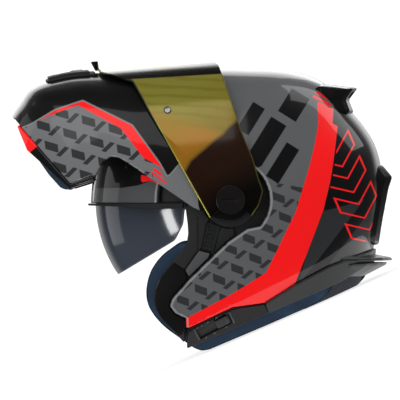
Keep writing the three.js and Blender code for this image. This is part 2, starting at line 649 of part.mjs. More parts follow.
/** A raised pad over the chin vent: half width at its front and back, height and how far its ends draw
 *  in. */
function ventStep(front, back, height, drawIn) {
  const plan = [[-230, front - drawIn], [-190, front - drawIn], [-120, back - drawIn]];
  return layer("chin", -height, chinOuter - seatGap)
    .intersect(prism(wedge(ventAngles[0] + drawIn, ventAngles[1] - drawIn)))
    .intersect(tapered(wedge(0, 90), plan));
}
const ventBay = layer("chin", -9, -2.3)
  .intersect(prism(wedge(ventAngles[0] + 3, ventAngles[1] - 1.6), -15, 15));
const ventMouth = prism(wedge(ventAngles[0] + 3.4, ventAngles[0] + 5.6), -13, 13);
const ventPads = ventStep(24, 36, 2, 0).add(ventStep(24, 36, 5, 1.6));
add("chin_vent_body", ventPads.subtract(ventBay).subtract(ventMouth), "gloss");
const ventSlider = layer("chin", -6.2, -3.4)
  .intersect(prism(wedge(ventAngles[0] + 5.8, ventAngles[1] - 2.2), -14.5, 14.5))
  .subtract(layer("chin", -7, -5).intersect(prism(wedge(38.6, 39.4), -9, 9)));
add("chin_vent_slider", ventSlider, "satin");

// Curtain of cloth across the chin bar's lower opening.
add("chin_curtain", layer("chin", 6.4, 10.4).intersect(prism(curtainOutline)), "navy");

// ---------------------------------------------------------------- soft lining
const quiltPitch = 30; // degrees between the crown pad's sewn channels
const quiltDepth = 3.5;
/** How far the crown pad's inside dips at a turn and a row: deep along its sewn channels. */
const quiltRelief = (turn, row) => {
  const onTurn = Math.abs(turn % quiltPitch) < 1e-6;
  const onRow = [0.25, 0.625].some((line) => Math.abs(Math.abs(row) - line) < 1e-6);
  return onTurn || onRow ? -quiltDepth : 0;
};
const crownPad = bodyVolume("head", 0.4)
  .subtract(bodyVolume("quilt", 14, 14, quiltRelief))
  .intersect(prism(rounded([[-74, 30], [-74, 140], [150, 140], [150, -30], [84, -30], [60, 20]], 6)));
add("crown_pad", crownPad, "cloth");

/** Distance from a point inside an outline to its edge, at an angle in radians. */
function edgeDistance(outline, [cx, cz], angle) {
  const [dx, dz] = [Math.cos(angle), Math.sin(angle)];
  const hits = outline.map(([x0, z0], i) => {
    const [x1, z1] = outline[(i + 1) % outline.length];
    const [ex, ez, px, pz] = [x1 - x0, z1 - z0, x0 - cx, z0 - cz];
    const cross = dx * ez - dz * ex;
    const along = (px * dz - pz * dx) / cross;
    const away = (px * ez - pz * ex) / cross;
    return along >= -1e-9 && along <= 1 + 1e-9 && away > 0 ? away : Infinity;
  });
  return Math.min(...hits);
}

/** A closed stack of rings: each ring is a list of points, and the first and last close on their own
 *  middles. */
function stacked(rings) {
  const turns = rings[0].length;
  const middleOf = (ring) => ring[0].map((_, k) => ring.reduce((sum, p) => sum + p[k], 0) / turns);
  const positions = [middleOf(rings[0]), ...rings.flat(), middleOf(rings[rings.length - 1])].flat();
  const end = positions.length / 3 - 1;
  const index = [];
  const at = (ring, i) => 1 + ring * turns + (i % turns);
  for (let i = 0; i < turns; i += 1) {
    index.push(0, at(0, i + 1), at(0, i), end, at(rings.length - 1, i), at(rings.length - 1, i + 1));
    for (let ring = 0; ring + 1 < rings.length; ring += 1) {
      index.push(at(ring, i), at(ring + 1, i + 1), at(ring + 1, i));
      index.push(at(ring, i), at(ring, i + 1), at(ring + 1, i + 1));
    }
  }
  const geometry = new THREE.BufferGeometry();
  geometry.setAttribute("position", new THREE.Float32BufferAttribute(positions, 3));
  geometry.setIndex(index);
  return solid(geometry);
}

/** A cheek pad: full at its edge, drawn in at its faces, its inner face crowned with a sewn channel
 *  round it. */
const cheekCrown = 13;
const cheekDepth = 50; // thickness from the crown to the shell
const cheekChannel = { at: 0.66, width: 0.045, depth: 3.2 };
function cheekCushion() {
  const middle = [-14, -88];
  const turns = 40;
  const dip = (share) => {
    const away = (share - cheekChannel.at) / cheekChannel.width;
    return cheekChannel.depth * Math.exp(-(away ** 2));
  };
  const innerFace = (share) => [share, padInside + cheekCrown * share ** 2.6 + dip(share)];
  const profile = [
    ...[0.22, 0.42, 0.55, 0.62, cheekChannel.at, 0.7, 0.78, 0.87, 0.94].map(innerFace),
    [0.985, padInside + cheekCrown + 2.5], [1, padInside + cheekCrown + 7], [1, padInside + cheekDepth - 8],
    [0.97, padInside + cheekDepth], [0.4, padInside + cheekDepth],
  ];
  return stacked(profile.map(([share, y]) => Array.from({ length: turns }, (_, i) => {
    const angle = (-2 * Math.PI * i) / turns;
    const reach = edgeDistance(cheekOutline, middle, angle) * share;
    return [middle[0] + Math.cos(angle) * reach, y, middle[1] + Math.sin(angle) * reach];
  })));
}
const cheekPad = cheekCushion().intersect(innerStep(shellWall + 1.5));
sides.forEach(([label, side]) => add(`cheek_pad_${label}`, cheekPad, "navy", side));

/** The neck roll: a rounded section carried round the back of the rim and pinched at its sewn channels. */
const rollThickness = 25;
const rollPinch = { pitch: 4, share: 0.14 }; // stations between the channels, and how deep they draw in
function neckRollSweep() {
  const stations = 36;
  const start = 5; // along the rim, the plan point that the roll bends round
  const drop = (rollTop + padBottom) / 2;
  const wallAt = (turn) => {
    let [near, far] = [0, 260];
    for (let i = 0; i < 30; i += 1) {
      const r = (near + far) / 2;
      const inside = sideReach("shell", ...rimPoint(start + r * Math.cos(turn), drop), shellWall + 3);
      if (inside > Math.abs(r * Math.sin(turn))) near = r;
      else far = r;
    }
    return near;
  };
  return stacked(Array.from({ length: stations + 1 }, (_, i) => {
    const turn = THREE.MathUtils.lerp(-1.75, 1.75, i / stations);
    const centre = wallAt(turn) - rollThickness / 2;
    const fullness = i % rollPinch.pitch === 0 ? 1 - rollPinch.share : 1;
    return Array.from({ length: 16 }, (_, j) => {
      const [c, s] = [Math.cos((Math.PI * j) / 8), Math.sin((Math.PI * j) / 8)];
      const r = centre + (Math.sign(c) * Math.abs(c) ** 0.75 * rollThickness * fullness) / 2;
      const down = drop + (Math.sign(s) * Math.abs(s) ** 0.6 * (padBottom - rollTop + 1)) / 2;
      const [x, z] = rimPoint(start + r * Math.cos(turn), down);
      return [x, r * Math.sin(turn), z];
    });
  }));
}
const rollOutline = [
  rimPoint(rollStart + 1, padBottom), rimPoint(80, padBottom), rimPoint(100, padBottom - 5),
  rimPoint(118, rimDrop - 1), rimPoint(200, rimDrop - 1), rimPoint(200, rollTop),
  rimPoint(rollStart + 13.4, rollTop),
  rimPoint(rollStart + 21, rimDrop),
];
const neckRoll = neckRollSweep()
  .intersect(bodyVolume("shell", shellWall + 3))
  .intersect(prism(rollOutline));
add("neck_roll", neckRoll, "cloth");

// ---------------------------------------------------------------- chin strap with its ratchet buckle
/** A band of constant thickness along points of the front view, as an outline. */
function band(points, thickness) {
  const line = new THREE.CatmullRomCurve3(points.map(([y, z]) => new THREE.Vector3(y, z, 0)));
  const count = 14;
  const edge = (side) =>
    Array.from({ length: count + 1 }, (_, i) => {
      const at = line.getPointAt(i / count);
      const way = line.getTangentAt(i / count);
      return [at.x - way.y * side, at.y + way.x * side];
    });
  return [...edge(thickness / 2), ...edge(-thickness / 2).reverse()];
}

/** A front-view outline extruded from x = low to x = high in the standing helmet, turned into the
 *  drawing frame. */
function acrossFront(flat, low, high) {
  const axes = [new THREE.Vector3(0, 1, 0), new THREE.Vector3(0, 0, 1), new THREE.Vector3(1, 0, 0)];
  const geometry = extruded(flat, high - low).applyMatrix4(new THREE.Matrix4().makeBasis(...axes));
  return solid(geometry.translate(low, 0, 0).rotateY(-standTilt));
}
const rectangle = (y0, z0, y1, z1) => [[y0, z0], [y1, z0], [y1, z1], [y0, z1]];
const strapFrom = -20;
const strapTo = 4;
const strapThickness = 2.2;
const strapHeight = -92.5; // the buckled strap's middle, under the pivot line
const strapWall = padInside - strapThickness / 2 + 0.5;
const onStrap = (outline) => outline.map(([y, z]) => [y, z + strapHeight]);
const leverAxis = [28, -7];
const strapPath = (inner) => [
  [strapWall, 34], [strapWall, 14], [strapWall - 5, 4.5], [strapWall - 12, 0.6], [inner, 0],
];
const strap = (path) => acrossFront(onStrap(band(path, strapThickness)), strapFrom, strapTo);
add("chin_strap_left", strap(strapPath(6).map(([y, z]) => [-y, z])), "matte");
add("chin_strap_right", strap(strapPath(32.4)), "matte");
const toothAt = (y) => [[y + 2.2, 0.9], [y + 1.4, 1.5], [y, 0.9]];
const teeth = Array.from({ length: 8 }, (_, i) => toothAt(22.2 - i * 2.6));
const tongue = [[-5.6, -0.9], [27, -0.9], [27, 0.9], ...teeth.flat(), [-5.6, 0.9]];
add("ratchet_tongue", acrossFront(onStrap(tongue), strapFrom + 4, strapTo - 4), "gloss");
const leverPin = (radius) => onStrap(placed(arc(radius, 0, 350, 20), 0, leverAxis));
const buckle = acrossFront(onStrap(rectangle(2, -4.5, 32, 4.5)), strapFrom - 2, strapTo + 2)
  .add(acrossFront(onStrap([[22, -4.4], [33, -4.4], [32, -9], [26, -9.6]]), strapFrom - 2, strapTo + 2))
  .subtract(acrossFront(onStrap(rectangle(0, -1.3, 29, 1.9)), strapFrom + 2.6, strapTo - 2.6))
  .subtract(acrossFront(onStrap(rectangle(0, -12, 40, -4.5)), strapFrom + 2, strapTo - 2))
  .subtract(acrossFront(leverPin(1.5), strapFrom - 3, strapTo + 3));
add("buckle_body", buckle, "gloss");
const leverBlade = rounded([[5, -7.2], [28, -7.2], [28, -5.2], [8, -5.2]], 0.4);
const lever = acrossFront(onStrap(leverBlade), strapFrom + 2.6, strapTo - 2.6)
  .add(acrossFront(leverPin(2), strapFrom + 2.6, strapTo - 2.6))
  .add(acrossFront(leverPin(1.15), strapFrom - 1.5, strapTo + 1.5));
add("buckle_lever", lever, "red");

// ---------------------------------------------------------------- standing pose
group.rotation.y = standTilt;
const root = new THREE.Group();
root.add(group);
root.updateMatrixWorld(true);
const extent = new THREE.Box3().setFromObject(root, true);
const middle = extent.getCenter(new THREE.Vector3());
group.position.set(-middle.x, -middle.y, -extent.min.z);

export default root;
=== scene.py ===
"""A flip-front motorcycle helmet, chin bar and visor raised, inner sun visor down, in a pale studio.

Shapes are worked out in millimetres in the helmet's drawing frame: the origin is on the line between the
two face pivots, +X goes to the back of the head, +Y to the wearer's right and +Z up, with the helmet
pitched as it is worn. to_row() turns that frame into the row frame, where the helmet stands on its pads.
"""

from __future__ import annotations

import json
import logging
import math
from dataclasses import dataclass
from enum import Enum
from typing import Callable, Sequence

import bmesh
import bpy
import numpy as np
from mathutils import Matrix, Vector

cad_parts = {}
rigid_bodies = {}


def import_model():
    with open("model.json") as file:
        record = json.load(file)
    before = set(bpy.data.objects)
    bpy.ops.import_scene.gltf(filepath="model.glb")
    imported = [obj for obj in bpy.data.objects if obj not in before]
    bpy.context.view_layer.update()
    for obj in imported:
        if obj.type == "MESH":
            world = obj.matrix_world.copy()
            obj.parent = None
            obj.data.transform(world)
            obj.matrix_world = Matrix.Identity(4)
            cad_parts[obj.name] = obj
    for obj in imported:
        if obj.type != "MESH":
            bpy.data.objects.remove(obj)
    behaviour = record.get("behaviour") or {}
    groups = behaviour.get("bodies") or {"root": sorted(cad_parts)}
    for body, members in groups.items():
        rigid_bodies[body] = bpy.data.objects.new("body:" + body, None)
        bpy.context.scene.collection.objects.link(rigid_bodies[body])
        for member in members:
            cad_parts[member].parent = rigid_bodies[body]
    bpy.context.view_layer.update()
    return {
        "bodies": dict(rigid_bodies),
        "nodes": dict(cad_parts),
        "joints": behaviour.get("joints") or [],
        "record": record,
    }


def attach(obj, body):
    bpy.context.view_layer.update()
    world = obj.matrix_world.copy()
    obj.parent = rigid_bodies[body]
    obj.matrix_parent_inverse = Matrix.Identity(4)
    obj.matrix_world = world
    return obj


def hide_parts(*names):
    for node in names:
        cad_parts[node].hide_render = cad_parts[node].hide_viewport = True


log = logging.getLogger("helmet")

Array = np.ndarray
Numbers = Sequence[float]
Outline = Sequence[Numbers]
Reach = Callable[[Array], Array]
Pair = tuple[float, float]
Colour = tuple[float, float, float]
Piece = bpy.types.Object
Material = bpy.types.Material
Socket = bpy.types.NodeSocket

# ---------------- shared sizes, in millimetres
TILT = math.radians(23.3)  # slope of the rim when worn
COS_TILT, SIN_TILT = math.cos(TILT), math.sin(TILT)
PIVOT = (5.21, 0.0, 124.0)  # the pivot line's middle in the row frame
HALF_WIDTH = 122.0
FULLNESS = 2.25  # superellipse power of every cross-section through the pivot line
SHELL_WALL = 3.6
RECESS = 10.0
CHIN_WALL = 4.4
SEAT = 0.3
RIM_DROP = 114.3
PAD_BOTTOM = RIM_DROP + 9.7  # the soft pads stand below the rim
PAD_INSIDE = 52.0
ROLL_START = 43.0  # along the rim, where the neck roll begins
ROLL_TOP = RIM_DROP - 20.0
FRAME_BACK = RECESS - SEAT
FRAME_WALL = 2.5
FRAME_FRONT = FRAME_BACK - FRAME_WALL
PIVOT_DISH = 37.6  # recess behind the pivots
FRONT_DISH = 65.6 + CHIN_WALL  # recess ahead of the pivots, where the arms swing
PIN_BORE = 5.35
SUN_RADIUS = 130.5  # outside of the sun visor about the pivot line
VISOR_STAND_OFF = 3.6  # outside of the visor over the shell's side
HEAD_INSET = 43.0  # from the shell's side to the lining over the head
LINER_GAP = 1.2
SIDES = (("left", -1), ("right", 1))

SHELL_KNOTS = (
    (-110, 172), (-90, 185), (-76, 206), (-60, 221), (-51, 220), (-46, 217), (-40, 200), (-32, 172),
    (-16, 141), (0, 135), (20, 135), (45, 134.6), (62, 132.5), (78, 129.6), (94, 128.5), (103, 131),
    (115, 138), (123, 143), (129, 145.5), (137, 145.5), (144, 145.5), (150, 147.5), (158, 150), (166, 150),
    (173, 148.5), (184, 145), (192, 144.2), (198, 146.5), (206, 151.5), (220, 161), (235, 167),
)
CHIN_KNOTS = (
    (-110, 200), (-60, 205), (-20, 216), (0, 225), (12, 227), (20.8, 227), (25, 224.5), (29.6, 221),
    (35.7, 204), (43.9, 178.5), (50, 163), (56, 150), (62, 143), (70, 138.5), (100, 138), (160, 138),
    (220, 160),
)
HEAD_KNOTS = (
    (-110, 150), (-76, 158), (-46, 150), (-24, 118), (0, 103), (45, 100), (80, 96), (110, 104),
    (144, 112), (173, 114), (200, 112), (235, 132),
)
VISOR_LINE = ((-128.0, 127.8), (-17.5, 138.0))  # straight middle line of the raised visor


def pitched(points: Array, way: int) -> Array:
    """Points turned about the pivot line by the tilt.

    Args:
        points: an array of points, three numbers each.
        way: 1 from the drawing frame to the standing helmet, -1 back.

    Returns:
        The turned points.
    """
    x, y, z = points[:, 0], points[:, 1], points[:, 2]
    s = way * SIN_TILT
    return np.stack([x * COS_TILT + z * s, y, -x * s + z * COS_TILT], 1)


def to_row(points: Array) -> Array:
    """Turns drawing millimetres into row-frame metres."""
    return (pitched(points, 1) + np.array(PIVOT)) / 1000.0


def from_row(points: Array) -> Array:
    """Turns row-frame metres back into drawing millimetres."""
    return pitched(points * 1000.0 - np.array(PIVOT), -1)


def squared(wave: Array, power: float) -> Array:
    """A sine or cosine raised to a power with its sign kept, which squares up a round section."""
    return np.sign(wave) * np.abs(wave) ** power


def unit(vectors: Array) -> Array:
    """Vectors brought to a length of one."""
    return vectors / np.maximum(np.linalg.norm(vectors, axis=1, keepdims=True), 1e-9)


def off_repeat(values: Array, pitch: float) -> Array:
    """How far values lie from the nearest whole repeat of a pitch."""
    return np.mod(values + pitch / 2, pitch) - pitch / 2


# ---------------- side-view outlines
def arc(radius: float, start: float, end: float, steps: int = 12) -> list:
    """Points of an arc about the pivot line, the angle turning from +X upwards, in degrees."""
    turn = np.radians(np.linspace(start, end, steps + 1))
    return [[radius * math.cos(a), radius * math.sin(a)] for a in turn]


def rounded(points: Outline, radius: float) -> list:
    """Eases each corner of a closed outline by a short curve.

    Args:
        points: the closed outline.
        radius: about how far from the corner the curve starts.

    Returns:
        The eased outline.
    """
    eased: list = []
    for i, corner in enumerate(points):
        ends = []
        for other in (points[i - 1], points[(i + 1) % len(points)]):
            share = min(0.45, radius / math.dist(corner, other))
            ends.append([corner[k] + (other[k] - corner[k]) * share for k in (0, 1)])
        middle = [0.25 * ends[0][k] + 0.5 * corner[k] + 0.25 * ends[1][k] for k in (0, 1)]
        eased += [ends[0], middle, ends[1]]
    return eased


def rim_point(along: float | Array, down: float | Array) -> list:
    """A side-view point given along the rim from under the pivot, and down square to it."""
    return [COS_TILT * along + SIN_TILT * down, SIN_TILT * along - COS_TILT * down]


def rim_height(x: float) -> float:
    """Height of the rim at an x, in side view."""
    return (x * SIN_TILT - RIM_DROP) / COS_TILT


def placed(points: Outline, degrees: float, shift: Numbers) -> list:
    """An outline turned by degrees and moved."""
    c, s = math.cos(math.radians(degrees)), math.sin(math.radians(degrees))
    return [[x * c - z * s + shift[0], x * s + z * c + shift[1]] for x, z in points]


EYE_PORT = [
    [-43.6, -3], [-43, -8], [-41, -23], [-40.5, -32], [-42, -42], [-48, -50.5], [-56, -60], [-68.5, -75],
    [-72.5, -85], [-73.5, -95], [-71, -105], [-65, -115], [-54, -126.5], [-39.5, -142.5],
]
PANEL_EDGE = [
    [16, -27.5], [-2.2, -40], [-17, -54], [-39.5, -76], [-55.5, -94.1], [-58, -101.5], [-52.5, -108.5],
    [-42.5, -113],
]
TRIM_TOP = [
    [-42.5, -113], [-42.1, -123.5], [2.1, -102.7], [14.6, -101], [32.6, -98.6], [61, -80.7],
    [94.6, -62.9], [140.9, -46.6], [172, -38],
]
RECESS_EDGE = (
    PANEL_EDGE[::-1] + arc(PIVOT_DISH, -42, 80, 14) + arc(FRONT_DISH, 104, 180, 12)
    + [[-FRONT_DISH, -8], [-230, -8], [-230, -260], [-42.5, -260]]
)
EYE_OPENING = EYE_PORT + [[-39.5, -300], [-300, -300], [-300, -3]]
UNDER_TRIM = TRIM_TOP + [[260, -38], [260, -400], [-90, -400], [-90, -160], [-60, -118]]


def reach_in(outline: Outline, points: Array) -> Array:
    """Distance in from a closed side-view outline: to its nearest edge, negative outside it.

    A point is inside when a level line from it crosses the outline an odd number of times.

    Args:
        outline: the closed outline as (x, z) pairs.
        points: an array of (x, y, z) points.

    Returns:
        One distance for each point, in millimetres.
    """
    x, z = points[:, 0], points[:, 2]
    best = np.full(len(points), np.inf)
    inside = np.zeros(len(points), bool)
    ends = np.asarray(outline, float)
    for (x0, z0), (x1, z1) in zip(ends, np.roll(ends, -1, 0)):
        ex, ez = x1 - x0, z1 - z0
        t = np.clip(((x - x0) * ex + (z - z0) * ez) / max(ex * ex + ez * ez, 1e-12), 0, 1)
        best = np.minimum(best, np.hypot(x - x0 - t * ex, z - z0 - t * ez))
        crosses = (z0 > z) != (z1 > z)
        at = x0 + (z - z0) * ex / np.where(abs(ez) < 1e-12, 1e-12, ez)
        inside ^= crosses & (x < at)
    return np.where(inside, best, -best)


def away_from(x: float, z: float, radius: float) -> Reach:
    """The reach outside a round hole along Y."""
    return lambda p: np.hypot(p[:, 0] - x, p[:, 2] - z) - radius


def near_pivot(radius: float) -> Reach:
    """The reach inside a disc round the pivot line."""
    return lambda p: radius - np.hypot(p[:, 0], p[:, 2])


def within(outline: Outline, gap: float = 0.0) -> Reach:
    """The reach inside a side-view outline, short of it by a gap."""
    return lambda p: reach_in(outline, p) - gap


def beyond(outline: Outline, gap: float = 0.0) -> Reach:
    """The reach outside a side-view outline, clear of it by a gap."""
    return lambda p: -reach_in(outline, p) - gap


def both(*parts: Reach) -> Reach:
    """The reach inside every part."""
    return lambda p: np.minimum.reduce([part(p) for part in parts])


def either(*parts: Reach) -> Reach:
    """The reach inside any part."""
    return lambda p: np.maximum.reduce([part(p) for part in parts])


def in_sector(points: Array, first: float, last: float, half: float | Array) -> Array:
    """The reach inside a window on a surface about the pivot line.

    Args:
        points: points in drawing millimetres.
        first: turn of its first edge in degrees.
        last: turn of its last edge.
        half: its half width, one number or one for each point.

    Returns:
        The reach of each point.
    """
    turn = np.arctan2(points[:, 2], -points[:, 0])
    far = np.hypot(points[:, 0], points[:, 2])
    low, high = math.radians(first), math.radians(last)
    return np.minimum.reduce([(turn - low) * far, (high - turn) * far, half - np.abs(points[:, 1])])


def one_side(side: int) -> Reach:
    """The reach into the wearer's right (1) or left (-1) half."""
    return lambda p: side * p[:, 1] - 0.5


# ---------------- surfaces about the pivot line
class Form(Enum):
    """Which middle-plane outline a surface has."""

    SHELL = "shell"
    CHIN = "chin"
    HEAD = "head"
    VISOR = "visor"
    SUN = "sun"


def smooth_radius(knots: Sequence, degrees: Array) -> Array:
    """Radius of a closed outline at angles, by a cubic through its knots with neighbour-based slopes.

    Args:
        knots: (degrees, radius) pairs, rising, that close after a full turn.
        degrees: the angles, any turn.

    Returns:
        The radius at each angle, in millimetres.
    """
    table = np.asarray(knots, float)
    turned = table[0, 0] + np.mod(degrees - table[0, 0], 360.0)
    i = np.searchsorted(table[:, 0], turned, side="right") - 1
    angle = np.concatenate([table[-1:, 0] - 360, table[:, 0], table[:2, 0] + 360])
    radius = np.concatenate([table[-1:, 1], table[:, 1], table[:2, 1]])
    a0, a1, a2, a3 = (angle[i + k] for k in range(4))
    r0, r1, r2, r3 = (radius[i + k] for k in range(4))
    t = (turned - a1) / (a2 - a1)
    m1 = (r2 - r0) / (a2 - a0) * (a2 - a1)
    m2 = (r3 - r1) / (a3 - a1) * (a2 - a1)
    t2, t3 = t * t, t * t * t
    return (2 * t3 - 3 * t2 + 1) * r1 + (t3 - 2 * t2 + t) * m1 + (3 * t2 - 2 * t3) * r2 + (t3 - t2) * m2


def visor_radius(degrees: Array) -> Array:
    """The visor's straight middle line in polar form, held constant past its ends.

    Args:
        degrees: turns about the pivot line.

    Returns:
        The radius at each turn, in millimetres.
    """
    (x0, z0), (x1, z1) = VISOR_LINE
    low, high = math.degrees(math.atan2(z0, -x0)), math.degrees(math.atan2(z1, -x1))
    turn = np.radians(np.clip(np.mod(degrees + 90, 360) - 90, low, high))
    nx, nz = z0 - z1, x1 - x0
    return (nx * x0 + nz * z0) / (-nx * np.cos(turn) + nz * np.sin(turn))


@dataclass(frozen=True)
class Skin:
    """A closed surface about the pivot line: an outline in the middle plane, narrowed to both sides.

    A point at turn a and lift b is R(a) * cos(b)^(2/n) out from the pivot line, and W * sin(b)^(2/n)
    across, where n is the fullness.
    """

    form: Form
    inset: float = 0.0  # across the helmet
    radial: float | None = None  # inset of the outline, as inset when None

    def half_width(self) -> float:
        """Distance from the middle plane to the surface's flat side.

        Returns:
            The distance in millimetres.
        """
        usual = {
            Form.SHELL: HALF_WIDTH, Form.CHIN: HALF_WIDTH, Form.HEAD: HALF_WIDTH - HEAD_INSET,
            Form.VISOR: HALF_WIDTH + VISOR_STAND_OFF,
            Form.SUN: HALF_WIDTH - RECESS - SHELL_WALL - LINER_GAP,
        }
        return usual[self.form] - self.inset

    def radius(self, degrees: Array) -> Array:
        """Radius of the middle-plane outline.

        Args:
            degrees: turns about the pivot line.

        Returns:
            The radius at each turn, in millimetres.
        """
        knots = {Form.SHELL: SHELL_KNOTS, Form.CHIN: CHIN_KNOTS, Form.HEAD: HEAD_KNOTS}
        if self.form in knots:
            made = smooth_radius(knots[self.form], degrees)
        else:
            made = visor_radius(degrees) if self.form is Form.VISOR else np.full_like(degrees, SUN_RADIUS)
        return made - (self.inset if self.radial is None else self.radial)

    def points(self, place: Array) -> Array:
        """Points on the surface.

        Args:
            place: (turn in degrees, lift in radians) pairs.

        Returns:
            One point for each pair.
        """
        turn, lift = place[:, 0], place[:, 1]
        c = np.cos(lift) ** (2 / FULLNESS)
        s = squared(np.sin(lift), 2 / FULLNESS)
        out = self.radius(turn) * c
        a = np.radians(turn)
        return np.stack([-np.cos(a) * out, self.half_width() * s, np.sin(a) * out], 1)

    def side_reach(self, x: Array, z: Array) -> Array:
        """Distance from the middle plane to the surface over side-view points."""
        share = np.hypot(x, z) / self.radius(np.degrees(np.arctan2(z, -x)))
        return self.half_width() * np.clip(1 - share**FULLNESS, 0, 1) ** (1 / FULLNESS)


# ---------------- meshes
@dataclass
class Sheet:
    """An open patch of triangles with its outward normals, in drawing millimetres."""

    points: Array
    normals: Array
    faces: Array
    place: Array  # turn and lift of each point


def skin_normals(skin: Skin, place: Array) -> Array:
    """Outward unit normals of a skin: the cross product of its two surface directions.

    Args:
        skin: the surface.
        place: (turn, lift) pairs.

    Returns:
        One unit vector for each pair.
    """
    pole, least = 1.545, 0.004  # lifts kept off the poles and the middle, where the formula is flat
    lift = np.clip(place[:, 1], -pole, pole)
    lift = np.where(np.abs(lift) < least, least, lift)
    near = np.stack([place[:, 0], lift], 1)
    turn_step, lift_step = np.array([0.6, 0.0]), np.array([0.0, 0.003])
    a = skin.points(near + turn_step) - skin.points(near - turn_step)
    b = skin.points(near + lift_step) - skin.points(near - lift_step)
    normal = unit(np.cross(a, b))
    outward = np.sign(np.einsum("ij,ij->i", normal, skin.points(place)))
    return normal * np.where(outward == 0, 1, outward)[:, None]


def trimmed(skin: Skin, keep: Reach, turns: int = 420, rows: int = 150, span: Pair = (0.0, 360.0)) -> Sheet:
    """Cuts a patch from a skin: a grid of turns and lifts, its triangles cut where the reach is zero.

    Each crossing of an edge is found by false position along it, and sits on the exact surface.

    Args:
        skin: the surface.
        keep: positive where the patch is kept.
        turns: columns of the grid over its span.
        rows: rows from the left pole to the right one.
        span: first and last turn in degrees; a full circle closes on itself.

    Returns:
        The patch.
    """
    closed = span[1] - span[0] >= 359.9
    columns = turns if closed else turns + 1
    turn = np.linspace(span[0], span[1], turns + 1)[:columns]
    lift = np.linspace(-math.pi / 2, math.pi / 2, rows + 1)
    grid_turn, grid_lift = np.meshgrid(turn, lift)
    place = np.stack([grid_turn.ravel(), grid_lift.ravel()], 1)
    quads = grid_faces(rows + 1, columns, closed)
    faces = np.concatenate([quads[:, [0, 2, 3]], quads[:, :3]])
    reach = keep(skin.points(place))
    reach = np.where(np.abs(reach) < 0.01, -0.01, reach)
    good = reach[faces] > 0
    count = good.sum(1)
    whole = faces[count == 3]
    crossed = (count == 1) | (count == 2)
    part, inside, single = faces[crossed], good[crossed], count[crossed] == 1
    odd = np.where(single, inside.argmax(1), (~inside).argmax(1))
    a, b, c = (part[np.arange(len(part)), (odd + k) % 3] for k in range(3))
    pairs = np.concatenate([np.stack([a, b], 1), np.stack([a, c], 1)])
    keys, back = np.unique(np.sort(pairs, 1), axis=0, return_inverse=True)
    back = back.ravel()
    cut = crossings(skin, keep, place, reach, keys)
    ab, ac = len(place) + back[: len(part)], len(place) + back[len(part):]
    one = np.stack([a, ab, ac], 1)[single]
    two = np.concatenate([np.stack([ab, b, c], 1)[~single], np.stack([ab, c, ac], 1)[~single]])
    faces = np.concatenate([whole, one, two])
    used, faces = np.unique(faces, return_inverse=True)
    faces = faces.reshape(-1, 3)
    place = np.concatenate([place, cut])[used]
    points = skin.points(place)
    normals = skin_normals(skin, place)
    way = np.cross(points[faces[:, 1]] - points[faces[:, 0]], points[faces[:, 2]] - points[faces[:, 0]])
    facing = np.einsum("ij,ij->i", way, normals[faces[:, 0]]).sum() > 0
    return Sheet(points, normals, faces if facing else faces[:, ::-1], place)


def crossings(skin: Skin, keep: Reach, place: Array, reach: Array, keys: Array) -> Array:
    """Where edges cross zero reach: the share along each edge, bettered twice by false position.

    Args:
        skin: the surface.
        keep: the reach.
        place: turn and lift of the grid's points.
        reach: the reach of each grid point.
        keys: pairs of points, one in and one out.

    Returns:
        Turn and lift of each crossing.
    """
    first, last = place[keys[:, 0]].copy(), place[keys[:, 1]].copy()
    wrap = np.round((last[:, 0] - first[:, 0]) / 360.0) * 360.0
    last[:, 0] -= wrap
    low, high = reach[keys[:, 0]].copy(), reach[keys[:, 1]].copy()
    ends = [np.zeros(len(keys)), np.ones(len(keys))]
    share = low / (low - high)
    for _ in range(2):
        here = keep(skin.points(first + (last - first) * share[:, None]))
        same = np.sign(here) == np.sign(low)
        ends[0], low = np.where(same, share, ends[0]), np.where(same, here, low)
        ends[1], high = np.where(same, ends[1], share), np.where(same, high, here)
        gap = np.where(np.abs(low - high) < 1e-9, 1.0, low - high)
        share = np.clip(ends[0] + (ends[1] - ends[0]) * low / gap, 0.002, 0.998)
    return first + (last - first) * share[:, None]


def rim_of(faces: Array, count: int) -> tuple[Array, Array]:
    """The open edges of a patch, each running the way its triangle does.

    Args:
        faces: triangles.
        count: how many points there are.

    Returns:
        Start and end point of each open edge.
    """
    start = faces.ravel()
    end = np.roll(faces, -1, 1).ravel()
    forward = start.astype(np.int64) * count + end
    backward = end.astype(np.int64) * count + start
    alone = ~np.isin(forward, backward)
    return start[alone], end[alone]


@dataclass
class Edge:
    """How the rim of a moulded skin is finished, in millimetres."""

    radius: float = 0.7
    steps: int = 3


